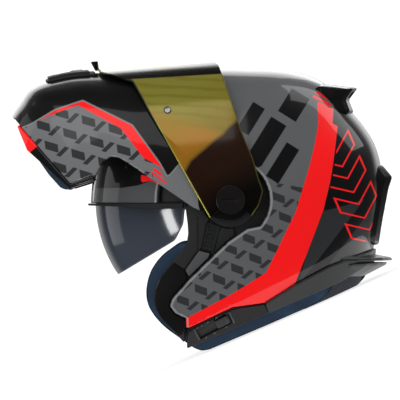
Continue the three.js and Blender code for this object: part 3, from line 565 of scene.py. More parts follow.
def moulded(
    sheet: Sheet, wall: float, edge: Edge = Edge(), lap: Reach | None = None
) -> tuple[Array, Array, Array]:
    """Gives a patch a wall and a rounded rim, so that it closes.

    The rim leaves the patch at right angles to its normal, turns down through a quarter circle, and drops
    along the normal to the back sheet, which is the patch moved in by the wall.

    Args:
        sheet: the outer patch.
        wall: its thickness.
        edge: radius and steps of the rim.
        lap: depth of the rim's drop at points, where it isn't the wall.

    Returns:
        Points, triangles, and quadrilaterals.
    """
    count = len(sheet.points)
    start, end = rim_of(sheet.faces, count)
    rim = np.unique(start)
    slot = np.full(count, -1)
    slot[rim] = np.arange(len(rim))
    along = np.zeros((count, 3))
    way = unit(sheet.points[end] - sheet.points[start])
    np.add.at(along, start, way)
    np.add.at(along, end, way)
    normal = sheet.normals[rim]
    out = unit(np.cross(along[rim], normal))
    base = sheet.points[rim]
    depth = np.full(len(rim), wall) if lap is None else lap(base)
    rings = []
    for k in range(1, edge.steps + 1):
        turn = math.pi / 2 * k / edge.steps
        rings.append(base + edge.radius * (out * math.sin(turn) - normal * (1 - math.cos(turn))))
    foot = 0.9  # the rim leans in a little towards its foot
    rings.append(base + out * edge.radius * foot - normal * depth[:, None])
    inner = sheet.points - sheet.normals * wall
    points = np.concatenate([sheet.points, *rings, inner])
    a, b = slot[start], slot[end]
    levels = [start] + [count + k * len(rim) + a for k in range(len(rings))]
    other = [end] + [count + k * len(rim) + b for k in range(len(rings))]
    base_in = count + len(rings) * len(rim)
    levels.append(base_in + start)
    other.append(base_in + end)
    quads = [
        np.stack([other[k], levels[k], levels[k + 1], other[k + 1]], 1) for k in range(len(levels) - 1)
    ]
    faces = np.concatenate([sheet.faces, sheet.faces[:, ::-1] + base_in])
    return points, faces, np.concatenate(quads)


def in_scene(name: str, data: bpy.types.ID) -> Piece:
    """A new object of some data, linked to the scene."""
    made = bpy.data.objects.new(name, data)
    bpy.context.scene.collection.objects.link(made)
    return made


def mesh_object(name: str, points: Array, triangles: Array, quads: Array) -> Piece:
    """Puts drawing-frame points and faces into a new object at the origin, with its place in its mesh.

    Args:
        name: the object's name.
        points: points in drawing millimetres.
        triangles: faces of three points.
        quads: faces of four points.

    Returns:
        The new object, linked to the scene.
    """
    mesh = bpy.data.meshes.new(name)
    mesh.vertices.add(len(points))
    mesh.vertices.foreach_set("co", to_row(np.asarray(points, float)).astype(np.float32).ravel())
    corners = np.concatenate([triangles.ravel(), quads.ravel()]).astype(np.int32)
    sizes = np.concatenate([np.full(len(triangles), 3), np.full(len(quads), 4)])
    mesh.loops.add(len(corners))
    mesh.loops.foreach_set("vertex_index", corners)
    mesh.polygons.add(len(sizes))
    starts = np.concatenate([[0], np.cumsum(sizes)[:-1]]).astype(np.int32)
    mesh.polygons.foreach_set("loop_start", starts)
    mesh.polygons.foreach_set("use_smooth", np.full(len(sizes), True))
    mesh.update(calc_edges=True)
    mesh.validate()
    return in_scene(name, mesh)


def mark(piece: Piece, name: str, values: Array) -> None:
    """Stores one number for each point of a piece, which its finish reads as an attribute."""
    layer = piece.data.attributes.new(name, "FLOAT", "POINT")
    layer.data.foreach_set("value", np.asarray(values, np.float32))


def grid_faces(rows: int, columns: int, wrap: bool) -> Array:
    """Quadrilaterals of a grid of points in row order.

    Args:
        rows: rows of points.
        columns: points in a row.
        wrap: whether each row closes on itself.

    Returns:
        The faces.
    """
    span = columns if wrap else columns - 1
    j, i = np.meshgrid(np.arange(rows - 1), np.arange(span), indexing="ij")
    here, beside = j * columns + i, j * columns + (i + 1) % columns
    return np.stack([here, beside, beside + columns, here + columns], 2).reshape(-1, 4)


def tube(rings: Array) -> tuple[Array, Array, Array]:
    """Closes a stack of rings: each ring joins the next, and the end rings run in to their middles.

    Args:
        rings: an array of rings by points by three.

    Returns:
        Points, triangles of the two ends, and quadrilaterals between the rings.
    """
    count, turns = rings.shape[:2]
    points = np.concatenate([rings.reshape(-1, 3), rings[:1].mean(1), rings[-1:].mean(1)])
    ring = np.arange(turns)
    following = (ring + 1) % turns
    first = np.stack([np.full(turns, count * turns), following, ring], 1)
    base = (count - 1) * turns
    last = np.stack([np.full(turns, count * turns + 1), base + ring, base + following], 1)
    quads = grid_faces(count, turns, True)
    return points, np.concatenate([first, last]), quads


def facing_out(piece: Piece) -> Piece:
    """Merges a closed piece's doubled points and turns all its faces outwards.

    Args:
        piece: the closed piece.

    Returns:
        The same piece.
    """
    made = bmesh.new()
    made.from_mesh(piece.data)
    bmesh.ops.remove_doubles(made, verts=made.verts, dist=1e-6)
    bmesh.ops.recalc_face_normals(made, faces=made.faces)
    made.to_mesh(piece.data)
    made.free()
    return piece


def eased_copy(node: str, name: str, width: float, angle: float = 32.0) -> Piece:
    """A merged copy of a small moulded part with its sharp edges rounded by a bevel.

    Args:
        node: the part's node in the frame.
        name: the new piece's name.
        width: the bevel's width in millimetres.
        angle: least angle in degrees between two faces for their edge to be rounded.

    Returns:
        The new piece.
    """
    piece = in_scene(name, bpy.data.objects[node].data.copy())
    piece.data.name = name
    piece.data.materials.clear()
    made = bmesh.new()
    made.from_mesh(piece.data)
    bmesh.ops.remove_doubles(made, verts=made.verts, dist=2e-5)
    bmesh.ops.dissolve_limit(made, angle_limit=math.radians(3), verts=made.verts, edges=made.edges)
    bmesh.ops.recalc_face_normals(made, faces=made.faces)
    limit = math.radians(angle)
    sharp = [e for e in made.edges if len(e.link_faces) == 2 and e.calc_face_angle(0) > limit]
    bmesh.ops.bevel(
        made, geom=sharp, offset=width / 1000, segments=2, profile=0.5, affect="EDGES",
        clamp_overlap=True,
    )
    for face in made.faces:
        face.smooth = True
    for corner in made.edges:
        corner.smooth = len(corner.link_faces) == 2 and corner.calc_face_angle(0) < math.radians(17)
    made.to_mesh(piece.data)
    made.free()
    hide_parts(node)
    return piece


# ---------------- finishes
@dataclass(frozen=True)
class Ink:
    """A number carried through a material's Math nodes, so that a pattern is written as arithmetic."""

    board: Board
    socket: Socket

    def _with(self, operation: str, *others: Ink | float) -> Ink:
        """The result of one Math node."""
        return self.board.maths(operation, self, *others)

    def __add__(self, other: Ink | float) -> Ink:
        """The sum."""
        return self._with("ADD", other)

    def __sub__(self, other: Ink | float) -> Ink:
        """The difference."""
        return self._with("SUBTRACT", other)

    def __rsub__(self, other: float) -> Ink:
        """A number less this one."""
        return self.board.maths("SUBTRACT", other, self)

    def __mul__(self, other: Ink | float) -> Ink:
        """The product."""
        return self._with("MULTIPLY", other)

    def __or__(self, other: Ink | float) -> Ink:
        """The larger of two, which joins two shapes."""
        return self._with("MAXIMUM", other)

    def __and__(self, other: Ink | float) -> Ink:
        """The smaller of two, which keeps what two shapes share."""
        return self._with("MINIMUM", other)

    def size(self) -> Ink:
        """The number without its sign."""
        return self._with("ABSOLUTE")

    def within(self, half: Ink | float) -> Ink:
        """How far inside a band of a half width about zero."""
        return half - self.size()

    def repeat(self, pitch: float) -> Ink:
        """The number counted from the middle of each repeat, from minus to plus half a pitch."""
        shifted = self._with("ADD", pitch / 2)
        return self.board.maths("FLOORED_MODULO", shifted, pitch) - pitch / 2

    def crisp(self, width: float = 0.35) -> Ink:
        """0 to 1 across a narrow edge at zero."""
        made = self._with("MULTIPLY_ADD", 1.0 / width, 0.5)
        made.socket.node.use_clamp = True
        return made

    def spread(self, low: float, high: float) -> Ink:
        """0 at low, 1 at high, held outside them."""
        made = self._with("MULTIPLY_ADD", 1.0 / (high - low), -low / (high - low))
        made.socket.node.use_clamp = True
        return made


class Board:
    """Lays out the nodes of one material round its main shader."""

    def __init__(self, name: str) -> None:
        """Starts a material with a single main shader.

        Args:
            name: the material's name.
        """
        self.material = bpy.data.materials.new(name)
        self.material.use_nodes = True
        self.tree = self.material.node_tree
        self.tree.nodes.clear()
        self.shader = self.node("BsdfPrincipled")
        self.join(self.shader.outputs[0], self.node("OutputMaterial").inputs["Surface"])
        self.place = self.node("TexCoord").outputs["Object"]
        self._drawing: Socket | None = None

    def node(self, kind: str, **values: float | Numbers) -> bpy.types.Node:
        """Adds a shader node.

        Args:
            kind: its type, without the usual prefix.
            values: values for its sockets, by name.

        Returns:
            The node.
        """
        made = self.tree.nodes.new("ShaderNode" + kind)
        for name, value in values.items():
            made.inputs[name].default_value = value
        return made

    def join(self, source: Socket, target: Socket) -> None:
        """Links two sockets."""
        self.tree.links.new(source, target)

    def set(self, **values: float | Numbers) -> None:
        """Sets the shader's own sockets, with _ for a space in their names."""
        for key, value in values.items():
            self.shader.inputs[key.replace("_", " ")].default_value = value

    def maths(self, operation: str, *values: Ink | float) -> Ink:
        """One Math node.

        Args:
            operation: what it works out.
            values: its inputs in order.

        Returns:
            Its result.
        """
        node = self.node("Math")
        node.operation = operation
        for socket, value in zip(node.inputs, values):
            if isinstance(value, Ink):
                self.join(value.socket, socket)
            else:
                socket.default_value = value
        return Ink(self, node.outputs[0])

    def drawing(self) -> Socket:
        """Object coordinates turned into the drawing frame, in millimetres.

        Returns:
            The socket that gives them.
        """
        if self._drawing is None:
            x, _, z = PIVOT
            origin = (SIN_TILT * z - COS_TILT * x, 0, -SIN_TILT * x - COS_TILT * z)
            node = self.node("Mapping", Scale=(1000, 1000, 1000), Rotation=(0, -TILT, 0), Location=origin)
            self.join(self.place, node.inputs["Vector"])
            self._drawing = node.outputs[0]
        return self._drawing

    def along(self, direction: Numbers, start: float = 0.0) -> Ink:
        """Drawing coordinates measured along a direction, less a start.

        Args:
            direction: a unit vector.
            start: where the count begins, in millimetres.

        Returns:
            The distance along it.
        """
        node = self.node("VectorMath")
        node.operation = "DOT_PRODUCT"
        self.join(self.drawing(), node.inputs[0])
        node.inputs[1].default_value = tuple(direction)
        return Ink(self, node.outputs["Value"]) - start

    def slanted(self, degrees: float, origin: Numbers = (0.0, 0.0)) -> tuple[Ink, Ink]:
        """Side-view coordinates along and across a slope through an origin."""
        c, s = math.cos(math.radians(degrees)), math.sin(math.radians(degrees))
        along = self.along((c, 0, s), c * origin[0] + s * origin[1])
        return along, self.along((-s, 0, c), -s * origin[0] + c * origin[1])

    def read(self, name: str) -> Ink:
        """A number stored on the piece's points."""
        node = self.node("Attribute")
        node.attribute_name = name
        return Ink(self, node.outputs["Fac"])

    def noise(self, scale: float, detail: float = 3.0, stretch: Numbers = (1, 1, 1)) -> Ink:
        """Smooth noise.

        Args:
            scale: lumps per metre.
            detail: octaves.
            stretch: factors on the three axes.

        Returns:
            0 to 1.
        """
        node = self.node("TexNoise", Scale=scale, Detail=detail)
        mapping = self.node("Mapping", Scale=tuple(stretch))
        self.join(self.place, mapping.inputs["Vector"])
        self.join(mapping.outputs[0], node.inputs["Vector"])
        return Ink(self, node.outputs["Fac"])

    def wave(self, scale: float, direction: str = "X", distortion: float = 0.0) -> Ink:
        """Parallel ribs.

        Args:
            scale: ribs in 314 mm.
            direction: the axis that they cross.
            distortion: how far they waver.

        Returns:
            0 to 1.
        """
        node = self.node("TexWave", Scale=scale, Distortion=distortion)
        node.bands_direction = direction
        self.join(self.place, node.inputs["Vector"])
        return Ink(self, node.outputs["Fac"])

    def blend(self, base: Socket | Colour, over: Socket | Colour, share: Ink | float) -> Socket:
        """One colour laid over another by a share.

        Args:
            base: the lower colour.
            over: the upper one.
            share: 0 to 1 of the upper one.

        Returns:
            The mixed colour's socket.
        """
        node = self.node("Mix")
        node.data_type = "RGBA"
        for socket, value in ((node.inputs[6], base), (node.inputs[7], over)):
            if isinstance(value, tuple):
                socket.default_value = (*value, 1.0)
            else:
                self.join(value, socket)
        if isinstance(share, Ink):
            self.join(share.socket, node.inputs[0])
        else:
            node.inputs[0].default_value = share
        return node.outputs[2]

    def paint(self, colour: Socket) -> None:
        """Sends a colour to the shader."""
        self.join(colour, self.shader.inputs["Base Color"])

    def lay(self, over: Socket | Colour, share: Ink | float) -> None:
        """Lays a colour over what the shader is painted with so far."""
        self.paint(self.blend(self.shader.inputs["Base Color"].links[0].from_socket, over, share))

    def dull(self, roughness: Ink) -> None:
        """Sends a varying roughness to the shader."""
        self.join(roughness.socket, self.shader.inputs["Roughness"])

    def relief(self, height: Ink, depth: float) -> None:
        """Bumps the surface, over any earlier relief.

        Args:
            height: 0 to 1.
            depth: what 1 stands for, in millimetres.
        """
        node = self.node("Bump", Distance=depth / 1000.0, Strength=1.0)
        self.join(height.socket, node.inputs["Height"])
        target = self.shader.inputs["Normal"]
        if target.is_linked:
            self.join(target.links[0].from_socket, node.inputs["Normal"])
        self.join(node.outputs[0], target)


def srgb(red: float, green: float, blue: float) -> Colour:
    """A linear colour from screen values of 0 to 255.

    Args:
        red, green, blue: the screen values.

    Returns:
        The colour.
    """
    def linear(value: float) -> float:
        """One channel, by the screen's curve."""
        v = value / 255.0
        return v / 12.92 if v <= 0.04045 else ((v + 0.055) / 1.055) ** 2.4
    return linear(red), linear(green), linear(blue)


RED = srgb(248, 6, 10)
PANEL_GREY = srgb(94, 95, 97)
BLOCK_GREY = srgb(48, 49, 51)
DEEP_BLACK = srgb(10, 10, 11)


@dataclass(frozen=True)
class Moulding:
    """Moulded plastic: one colour with faint drift, a grain, and fine wear that dulls it."""

    name: str
    colour: Colour
    roughness: float = 0.4
    grain: float = 0.0  # depth of the moulded grain, mm
    coat: float = 0.0
    grain_scale: float = 900.0
    metallic: float = 0.0

    def make(self) -> Material:
        """Builds the material.

        Returns:
            The material.
        """
        board = Board(self.name)
        board.set(Metallic=self.metallic, Coat_Weight=self.coat, Coat_Roughness=0.06, IOR=1.5)
        board.set(Specular_IOR_Level=0.5 if self.coat == 0 else 0.15)
        drift = board.noise(18.0, 4.0)
        pale = tuple(min(1.0, c * 1.3 + 0.004) for c in self.colour)
        board.paint(board.blend(self.colour, pale, drift))
        wear = board.noise(60.0, 6.0)
        board.dull(wear * 0.12 + (self.roughness - 0.06))
        if self.grain > 0:
            board.relief(board.noise(self.grain_scale, 2.0), self.grain)
        return board.material


@dataclass(frozen=True)
class Cloth:
    """Knitted or brushed lining cloth: crossed ribs of yarn, patches of shade, and a sheen."""

    name: str
    colour: Colour
    highlight: Colour
    ribs: float = 190.0
    depth: float = 0.25
    sheen: float = 0.25
    accent: Colour | None = None  # colour of the panels marked "panel"
    piping: Colour | None = None  # colour of the edging marked "piping"

    def make(self) -> Material:
        """Builds the material.

        Returns:
            The material.
        """
        board = Board(self.name)
        board.set(Roughness=0.92, Sheen_Weight=self.sheen, Sheen_Roughness=0.45, IOR=1.4)
        board.set(Sheen_Tint=(*self.highlight, 1.0))
        knit = board.wave(self.ribs, "X", 0.6) * board.wave(self.ribs, "Z", 0.6)
        knit = knit | (board.wave(self.ribs, "Y", 0.6) * board.wave(self.ribs, "Z", 0.6) * 0.8)
        patches = board.noise(26.0, 4.0).spread(0.5, 0.72)
        colour = board.blend(self.colour, self.highlight, (patches * 0.75 + knit * 0.3).spread(0.1, 1.1))
        board.paint(colour)
        for over, name in ((self.accent, "panel"), (self.piping, "piping")):
            if over is not None:
                board.lay(over, board.read(name))
        board.relief(knit, self.depth)
        board.relief(board.noise(420.0, 2.0), 0.2)
        return board.material


@dataclass(frozen=True)
class Webbing:
    """Woven strap: diagonal twill with heavier selvedges."""

    name: str
    colour: Colour

    def make(self) -> Material:
        """Builds the material.

        Returns:
            The material.
        """
        board = Board(self.name)
        board.set(Roughness=0.75, Sheen_Weight=0.25, IOR=1.45)
        twill = board.along((0.7, 0.7, 0.7)).repeat(1.5).size() * 1.3
        cross = board.along((-0.7, 0.5, 0.5)).repeat(2.2).size()
        pale = tuple(c * 3 + 0.015 for c in self.colour)
        board.paint(board.blend(self.colour, pale, (twill * cross).spread(0.0, 0.8)))
        board.relief(twill, 0.3)
        return board.material


@dataclass(frozen=True)
class Foam:
    """Moulded bead foam: packed cells a few millimetres across."""

    name: str
    colour: Colour

    def make(self) -> Material:
        """Builds the material.

        Returns:
            The material.
        """
        board = Board(self.name)
        board.set(Roughness=0.85, IOR=1.4)
        cells = board.node("TexVoronoi", Scale=330.0)
        board.join(board.place, cells.inputs["Vector"])
        bead = Ink(board, cells.outputs["Distance"])
        pale = tuple(c * 1.8 + 0.01 for c in self.colour)
        board.paint(board.blend(pale, self.colour, bead.spread(0.1, 0.6)))
        board.relief(1.0 - bead, 0.35)
        return board.material


@dataclass(frozen=True)
class Lens:
    """A see-through moulding: tinted glass of thin wall with pale cut edges."""

    name: str
    tint: Colour

    def make(self) -> Material:
        """Builds the smoked lens: a tinted glass whose colour thickens a little towards its top.

        Returns:
            The material.
        """
        board = Board(self.name)
        board.set(Roughness=0.12, IOR=1.45, Transmission_Weight=0.28)
        board.set(Coat_Weight=1.0, Coat_Roughness=0.08)
        deeper = tuple(c * 0.6 for c in self.tint)
        pane = board.blend(self.tint, deeper, board.along((0, 0, 1)).spread(-60.0, 15.0))
        board.paint(board.blend(srgb(132, 138, 148), pane, board.read("rim").spread(0.4, 1.3)))
        return board.material


@dataclass(frozen=True)
class GoldMirror:
    """The face visor's mirror coat: olive gold, with painted reflections of amber below and dark at its
    foot, pale at its rims.

    Over its upper bend a painted reflection turns it black in a narrow band, then a painted silver
    highlight shows at the sides, with gold in the middle.
    """

    name: str = "visor_gold_mirror"

    def make(self) -> Material:
        """Builds the material.

        Returns:
            The material.
        """
        board = Board(self.name)
        board.set(Roughness=0.2, Metallic=0.4, IOR=1.5, Coat_Weight=0.5, Coat_Roughness=0.1, Coat_IOR=1.5)
        fall = board.slanted(-60.7, (-20.0, 136.0))[0] + board.noise(9.0, 2.0) * 10.0
        olive = board.blend(srgb(146, 140, 54), srgb(134, 112, 24), fall.spread(20.0, 70.0))
        ripple = board.noise(16.0, 3.0, (0.2, 1, 2.4)) * 16.0
        streaks = (board.slanted(-4.0)[1] + ripple).repeat(9.0).size()
        olive = board.blend(olive, srgb(118, 106, 30), streaks.spread(2.0, 4.4) * 0.5)
        # painted reflection: an amber patch on the mirror coat
        amber = board.blend(srgb(156, 120, 22), srgb(190, 112, 34), fall.spread(45.0, 105.0))
        board.paint(board.blend(olive, amber, board.read("amber").spread(-5.0, 9.0)))
        # painted reflection: a dark brown patch towards the visor's foot
        brown = board.blend(srgb(44, 24, 12), srgb(9, 7, 6), fall.spread(105.0, 135.0))
        board.lay(brown, board.read("dark").spread(-1.2, 2.6))
        height = board.along((0, 0, 1)).spread(36.0, 96.0)
        edge = board.blend(srgb(196, 192, 78), srgb(50, 60, 44), height)
        edge = board.blend(edge, srgb(88, 84, 30), board.along((0.915, 0, 0.403)).spread(-24.0, 22.0))
        board.lay(edge, 1.0 - board.read("rim").spread(0.5, 1.5))
        # painted reflection over the upper bend: a black band, with a pale silver highlight painted above
        # it
        level = board.along((-0.0576, 0, 1), 121.4)
        board.lay(srgb(8, 8, 8), level.crisp(1.2))
        middle = board.along((0, 1, 0)).size().spread(44.0, 26.0)
        silver = board.blend(srgb(164, 166, 162), srgb(176, 168, 86), middle)
        silver = board.blend(silver, srgb(150, 138, 52), streaks.spread(2.0, 4.4) * 0.3)
        board.lay(silver, (level - 6.2).spread(0.0, 3.4))
        return board.material


# ---------------- painted livery
BLACK_FRONT = [  # where the black at the back begins
    [61, -80.7], [72.6, -51.3], [88.3, -10.3], [95.2, 18.3], [98.1, 35.9], [102.8, 70.6], [97.9, 73.5],
]
RED_SWOOSH = [
    [83.4, 94.7], [84, 72.3], [79.9, 51.2], [74.6, 30], [68.4, 9.7], [61.7, -12.3], [54.7, -26.1],
    [46.3, -43.9], [33.7, -69.2], [14.6, -81.5], [-0.5, -90.6], [-42.1, -112.7], [-58, -121],
    [-58, -135], [-41.7, -123.5], [2.1, -102.7], [15.8, -101.2], [32.6, -98.6], *BLACK_FRONT,
    [98.7, 87.6],
]
BLACK_REAR = [
    [99.5, 160], [99.5, 87], *BLACK_FRONT[::-1], [61, -160], [300, -160], [300, 160],
]
REAR_SHADE = [
    [88.7, -10.5], [109.9, -5.2], [139.3, 4.2], [175, 16], [175, -60], [60, -100], [72.6, -51.3],
]
BROW = [[-240, 96], [-96, 96], [-52, 60], [-46, 4], [-46, -20], [-240, -20]]
BROW_BAND = [[-150, 11], [-104, 11.6], [-88, 14], [-74, 19], [-48, 2], [-40, -10], [-150, -10]]
BROW_RED = [[-85.4, 24.1], [-60, 18], [-60, 10], [-76, 18.5], [-85.4, 16.6]]
CHIN_RED = [
    [-190.5, 72.6], [-167.6, 86.1], [-144.2, 93.7], [-141.5, 94.6], [-94.1, 70.9], [-68, 34.9],
    [-60.3, 25.2], [-63.6, 30], [-83.2, 40.4], [-104.5, 68.2], [-145.8, 90.7], [-167, 83.3],
]
CHIN_TOP = CHIN_RED[:6] + [[-60, 20], [60, 160], [-100, 200], [-300, 200], [-300, 30]]


def block_motif(board: Board, degrees: float, pitch: float, origin: Numbers) -> Ink:
    """A repeating tread of plain blocks: in each cell a long bar, a short stub and a cut corner.

    Odd rows move half a cell along, so that the bars lie like bricks on a slope.

    Args:
        board: the material's board.
        degrees: slope of the rows in side view.
        pitch: length of a cell in millimetres.
        origin: a point that a cell's middle sits on.

    Returns:
        0 to 1, 1 on a block.
    """
    along, across = board.slanted(degrees, origin)
    tall = pitch * 0.62
    row = board.maths("FLOOR", (across + tall / 2) * (1.0 / tall))
    odd = board.maths("FLOORED_MODULO", row, 2.0)
    u = (along + odd * (pitch / 2)).repeat(pitch)
    v = across.repeat(tall)
    slant = u + v * 0.45
    bar = (slant + pitch * 0.13).within(pitch * 0.25) & v.within(pitch * 0.14)
    notch = (u * 0.8 - v * 1.1 - pitch * 0.17)
    stub = (u - v * 0.55 - pitch * 0.33).within(pitch * 0.085) & (v + pitch * 0.05).within(pitch * 0.2)
    return ((bar & (notch * -1.0 + pitch * 0.08)) | stub).crisp(0.5)


def outlined_chevrons(board: Board, degrees: float, pitch: float, origin: Numbers) -> Ink:
    """A run of nested arrowheads drawn in line only.

    A line lies where the distance from a chevron's edge is small.

    Args:
        board: the material's board.
        degrees: the way the arrowheads run, in side view.
        pitch: distance between them in millimetres.
        origin: a point that one arrowhead's tip sits near.

    Returns:
        0 to 1, 1 on a line.
    """
    along, across = board.slanted(degrees, origin)
    u = (along + across.size() * 0.75).repeat(pitch)
    shape = u.within(pitch * 0.27) & across.within(pitch * 0.72)
    line = shape.size().within(0.9) & (along.within(pitch * 2.05))
    return line.crisp(0.5)


@dataclass(frozen=True)
class Livery:
    """Gloss paint over the shell and chin bar, its graphics laid on in side view on both sides alike."""

    name: str
    coat: float = 1.0
    haze: float = 0.06  # roughness of the clear coat

    def _base(self) -> Board:
        """Starts a clear-coated paint with a fine metal flake in its relief.

        Returns:
            The board.
        """
        board = Board(self.name)
        board.set(Roughness=0.4, Coat_Weight=self.coat, Coat_Roughness=self.haze, IOR=1.5, Coat_IOR=1.5)
        board.set(Specular_IOR_Level=0.15)
        board.relief(board.noise(2600.0, 1.0), 0.012)
        return board

    def shell(self) -> Material:
        """Paint of the outer shell.

        The side panel's grey carries the block tread below the pivots; bands of black lie over the crown;
        behind the red sweep all is black with a dark grey foot and thin red line work.

        Returns:
            The material.
        """
        board = self._base()
        haze = board.noise(11.0, 3.0)
        crown = board.blend(PANEL_GREY, srgb(84, 85, 87), haze)
        _, height = board.slanted(0.0)
        x = board.along((1, 0, 0))
        blocks = block_motif(board, -21.0, 25.0, (-14.0, -58.0))
        below = (height * -1.0 + 24.0 - x * 0.18).crisp(0.5)
        board.paint(board.blend(crown, BLOCK_GREY, blocks * below))
        board.lay(DEEP_BLACK, self._crown_bars(board))
        rear = board.blend(DEEP_BLACK, srgb(44, 45, 47), board.read("shade").crisp(0.5))
        streak = board.slanted(52.0, (118.0, -22.0))[1].within(5.5).crisp(0.6)
        rear = board.blend(rear, DEEP_BLACK, streak)
        lines = outlined_chevrons(board, -66.0, 27.0, (115.0, 14.0))
        rear = board.blend(rear, RED, lines * board.read("behind").spread(1.5, 1.9))
        board.lay(rear, board.read("behind").crisp(0.4))
        board.lay(RED, board.read("red").crisp(0.4))
        board.lay(RED, self._pinstripes(board))
        board.lay(DEEP_BLACK, board.read("brow").crisp(0.5))
        board.lay(srgb(74, 75, 76), board.read("brow_band").crisp(0.5))
        board.lay(RED, board.read("brow_red").crisp(0.4))
        # painted highlight: a pale line along the recess edge, where its bevel would catch the light
        board.lay(srgb(150, 151, 153), board.read("recess_edge_highlight").within(0.9).crisp(0.5) * 0.6)
        return board.material

    def _crown_bars(self, board: Board) -> Ink:
        """Slanted black bands and cut blocks over the crown and temple, one long and three short.

        Args:
            board: the material's board.

        Returns:
            0 to 1, 1 on a band.
        """
        along, across = board.slanted(58.0, (34.0, 52.0))
        first = (across - 2.0).within(8.5) & along.within(26.0) & (along * 0.7 + across + 20.0)
        second = (across + 22.0).within(7.0) & (along + 6.0).within(19.0) & (18.0 - along - across * 0.4)
        third = (across - 26.0).within(6.5) & (along - 14.0).within(15.0)
        fourth = (across + 2.0).within(10.0) & (along - 47.0).within(13.0)
        return (first | second | third | fourth).crisp(0.6)

    def _pinstripes(self, board: Board) -> Ink:
        """Three thin lines across the crown above the red sweep.

        Args:
            board: the material's board.

        Returns:
            0 to 1, 1 on a line.
        """
        u, v = board.slanted(-27.0, (92.0, 103.4))
        span = u.within(9.6)
        lines = v.within(0.7) | (v + 4.4).within(1.0) | (v + 9.0).within(1.3)
        return (span & lines).crisp(0.4)

    def lip(self) -> Material:
        """Paint of the chin bar's lip: red along its front, black under its arms.

        Returns:
            The material.
        """
        board = self._base()
        split = board.slanted(40.0, (-187.0, 50.0))[1].crisp(0.5)
        board.paint(board.blend(DEEP_BLACK, RED, split))
        return board.material

    def chin(self) -> Material:
        """Paint of the chin bar: black above a red band, grey with the block tread below it, painted shadow
        at its hub.

        Returns:
            The material.
        """
        board = self._base()
        haze = board.noise(12.0, 3.0)
        panel = board.blend(srgb(112, 113, 115), srgb(100, 101, 103), haze)
        blocks = block_motif(board, -17.0, 27.0, (-150.0, 62.0))
        ahead = board.along((-1, 0, 0), 74.0).crisp(0.5)
        board.paint(board.blend(panel, srgb(46, 47, 48), blocks * ahead))
        top = board.read("top")
        board.lay(DEEP_BLACK, top.crisp(0.4))
        board.lay(srgb(120, 121, 123), (top - 0.7).within(0.7).crisp(0.4))
        board.lay(RED, board.read("red").crisp(0.4))
        along, across = board.slanted(-38.0, (-66.0, 24.0))
        strokes = ((across + 3.6).within(0.8) | across.within(1.1)) & along.within(9.0)
        board.lay(RED, (strokes & (top * -1.0 - 3.0)).crisp(0.4))
        # painted shadow: black round the pivot hub, where the raised visor shades it
        board.lay(DEEP_BLACK, board.read("hub_painted_shadow").crisp(0.5))
        return board.material


# ---------------- shared piece builders
def dress(
    piece: Piece, finish: Material, body: str, slot: str, *nodes: str,
    back: Material | None = None,
) -> Piece:
    """Gives a piece its finish and its body, and hides the nodes that it stands for.

    Args:
        piece: the piece.
        finish: its material.
        body: the body that it rides on.
        slot: the record's material slot; not used.
        nodes: frame nodes that it replaces.
        back: the finish of a backed piece's inside.

    Returns:
        The piece.
    """
    piece.data.materials.append(finish)
    if back is not None:
        piece.data.materials.append(back)
    if nodes:
        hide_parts(*nodes)
    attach(piece, body)
    log.info("%s: %d faces on %s", piece.name, len(piece.data.polygons), body)
    return piece


def skin_piece(
    name: str, skin: Skin, keep: Reach, wall: float, edge: Edge = Edge(), turns: int = 420,
    rows: int = 150, span: Pair = (0.0, 360.0), lap: Reach | None = None,
    backed: bool = False,
) -> tuple[Piece, Array]:
    """A moulded piece cut from a skin.

    Args:
        name: the piece's name.
        skin: the surface.
        keep: the reach of its outline; the rounded rim ends on it.
        wall: thickness.
        edge: the rim's finish.
        turns: columns of the grid.
        rows: rows of the grid.
        span: turns covered.
        lap: depth of the rim's drop where it isn't the wall.
        backed: whether the back wears the piece's second finish.

    Returns:
        The piece and its points in drawing millimetres.
    """
    sheet = trimmed(skin, lambda p: keep(p) - edge.radius, turns, rows, span)
    points, triangles, quads = moulded(sheet, wall, edge, lap)
    piece = mesh_object(name, points, triangles, quads)
    if backed:
        order = np.zeros(len(piece.data.polygons), np.int32)
        order[len(sheet.faces): 2 * len(sheet.faces)] = 1
        piece.data.polygons.foreach_set("material_index", order)
    return piece, points


def sampled(outline: Outline, count: int) -> Array:
    """Points evenly spaced round a closed outline.

    Args:
        outline: the closed outline.
        count: how many points.

    Returns:
        An array of side-view points.
    """
    ends = np.asarray(list(outline) + [outline[0]], float)
    run = np.concatenate([[0], np.cumsum(np.linalg.norm(np.diff(ends, axis=0), axis=1))])
    at = np.linspace(0, run[-1], count + 1)[:-1]
    return np.stack([np.interp(at, run, ends[:, k]) for k in (0, 1)], 1)


@dataclass(frozen=True)
class Blade:
    """A fin swept across the back of the helmet: a side outline drawn in towards its root by a plan.

    At each distance from the middle plane the outline's length behind the root is scaled so that its tip
    meets the plan.
    """

    outline: tuple
    root: float
    plan: tuple  # (distance from the middle plane, x of the tip) pairs
    thin: float = 0.8  # share of the height left at the ends

    def make(self, name: str, push: Reach | None = None, stations: int = 181, turns: int = 150) -> Piece:
        """Builds the fin.

        Args:
            name: its name.
            push: how far each point moves towards the root, in millimetres.
            stations: sections across the helmet.
            turns: points round a section.

        Returns:
            The fin.
        """
        section = sampled(self.outline, turns)
        half, tip = np.asarray(self.plan, float).T
        across = np.sin(np.linspace(-math.pi / 2, math.pi / 2, stations)) * (half[-1] - 0.2)
        rear = np.interp(np.abs(across), half, tip)
        scale = (rear - self.root) / (section[:, 0].max() - self.root)
        end = 1 - (1 - self.thin) * (np.abs(across) / half[-1]) ** 4
        middle = section[:, 1].mean()
        x = self.root + (section[None, :, 0] - self.root) * scale[:, None]
        z = middle + (section[None, :, 1] - middle) * end[:, None]
        y = np.broadcast_to(across[:, None], x.shape)
        rings = np.stack([x, y, z], 2)
        if push is not None:
            rings[..., 0] -= push(rings.reshape(-1, 3)).reshape(rings.shape[:2])
        return facing_out(mesh_object(name, *tube(rings)))


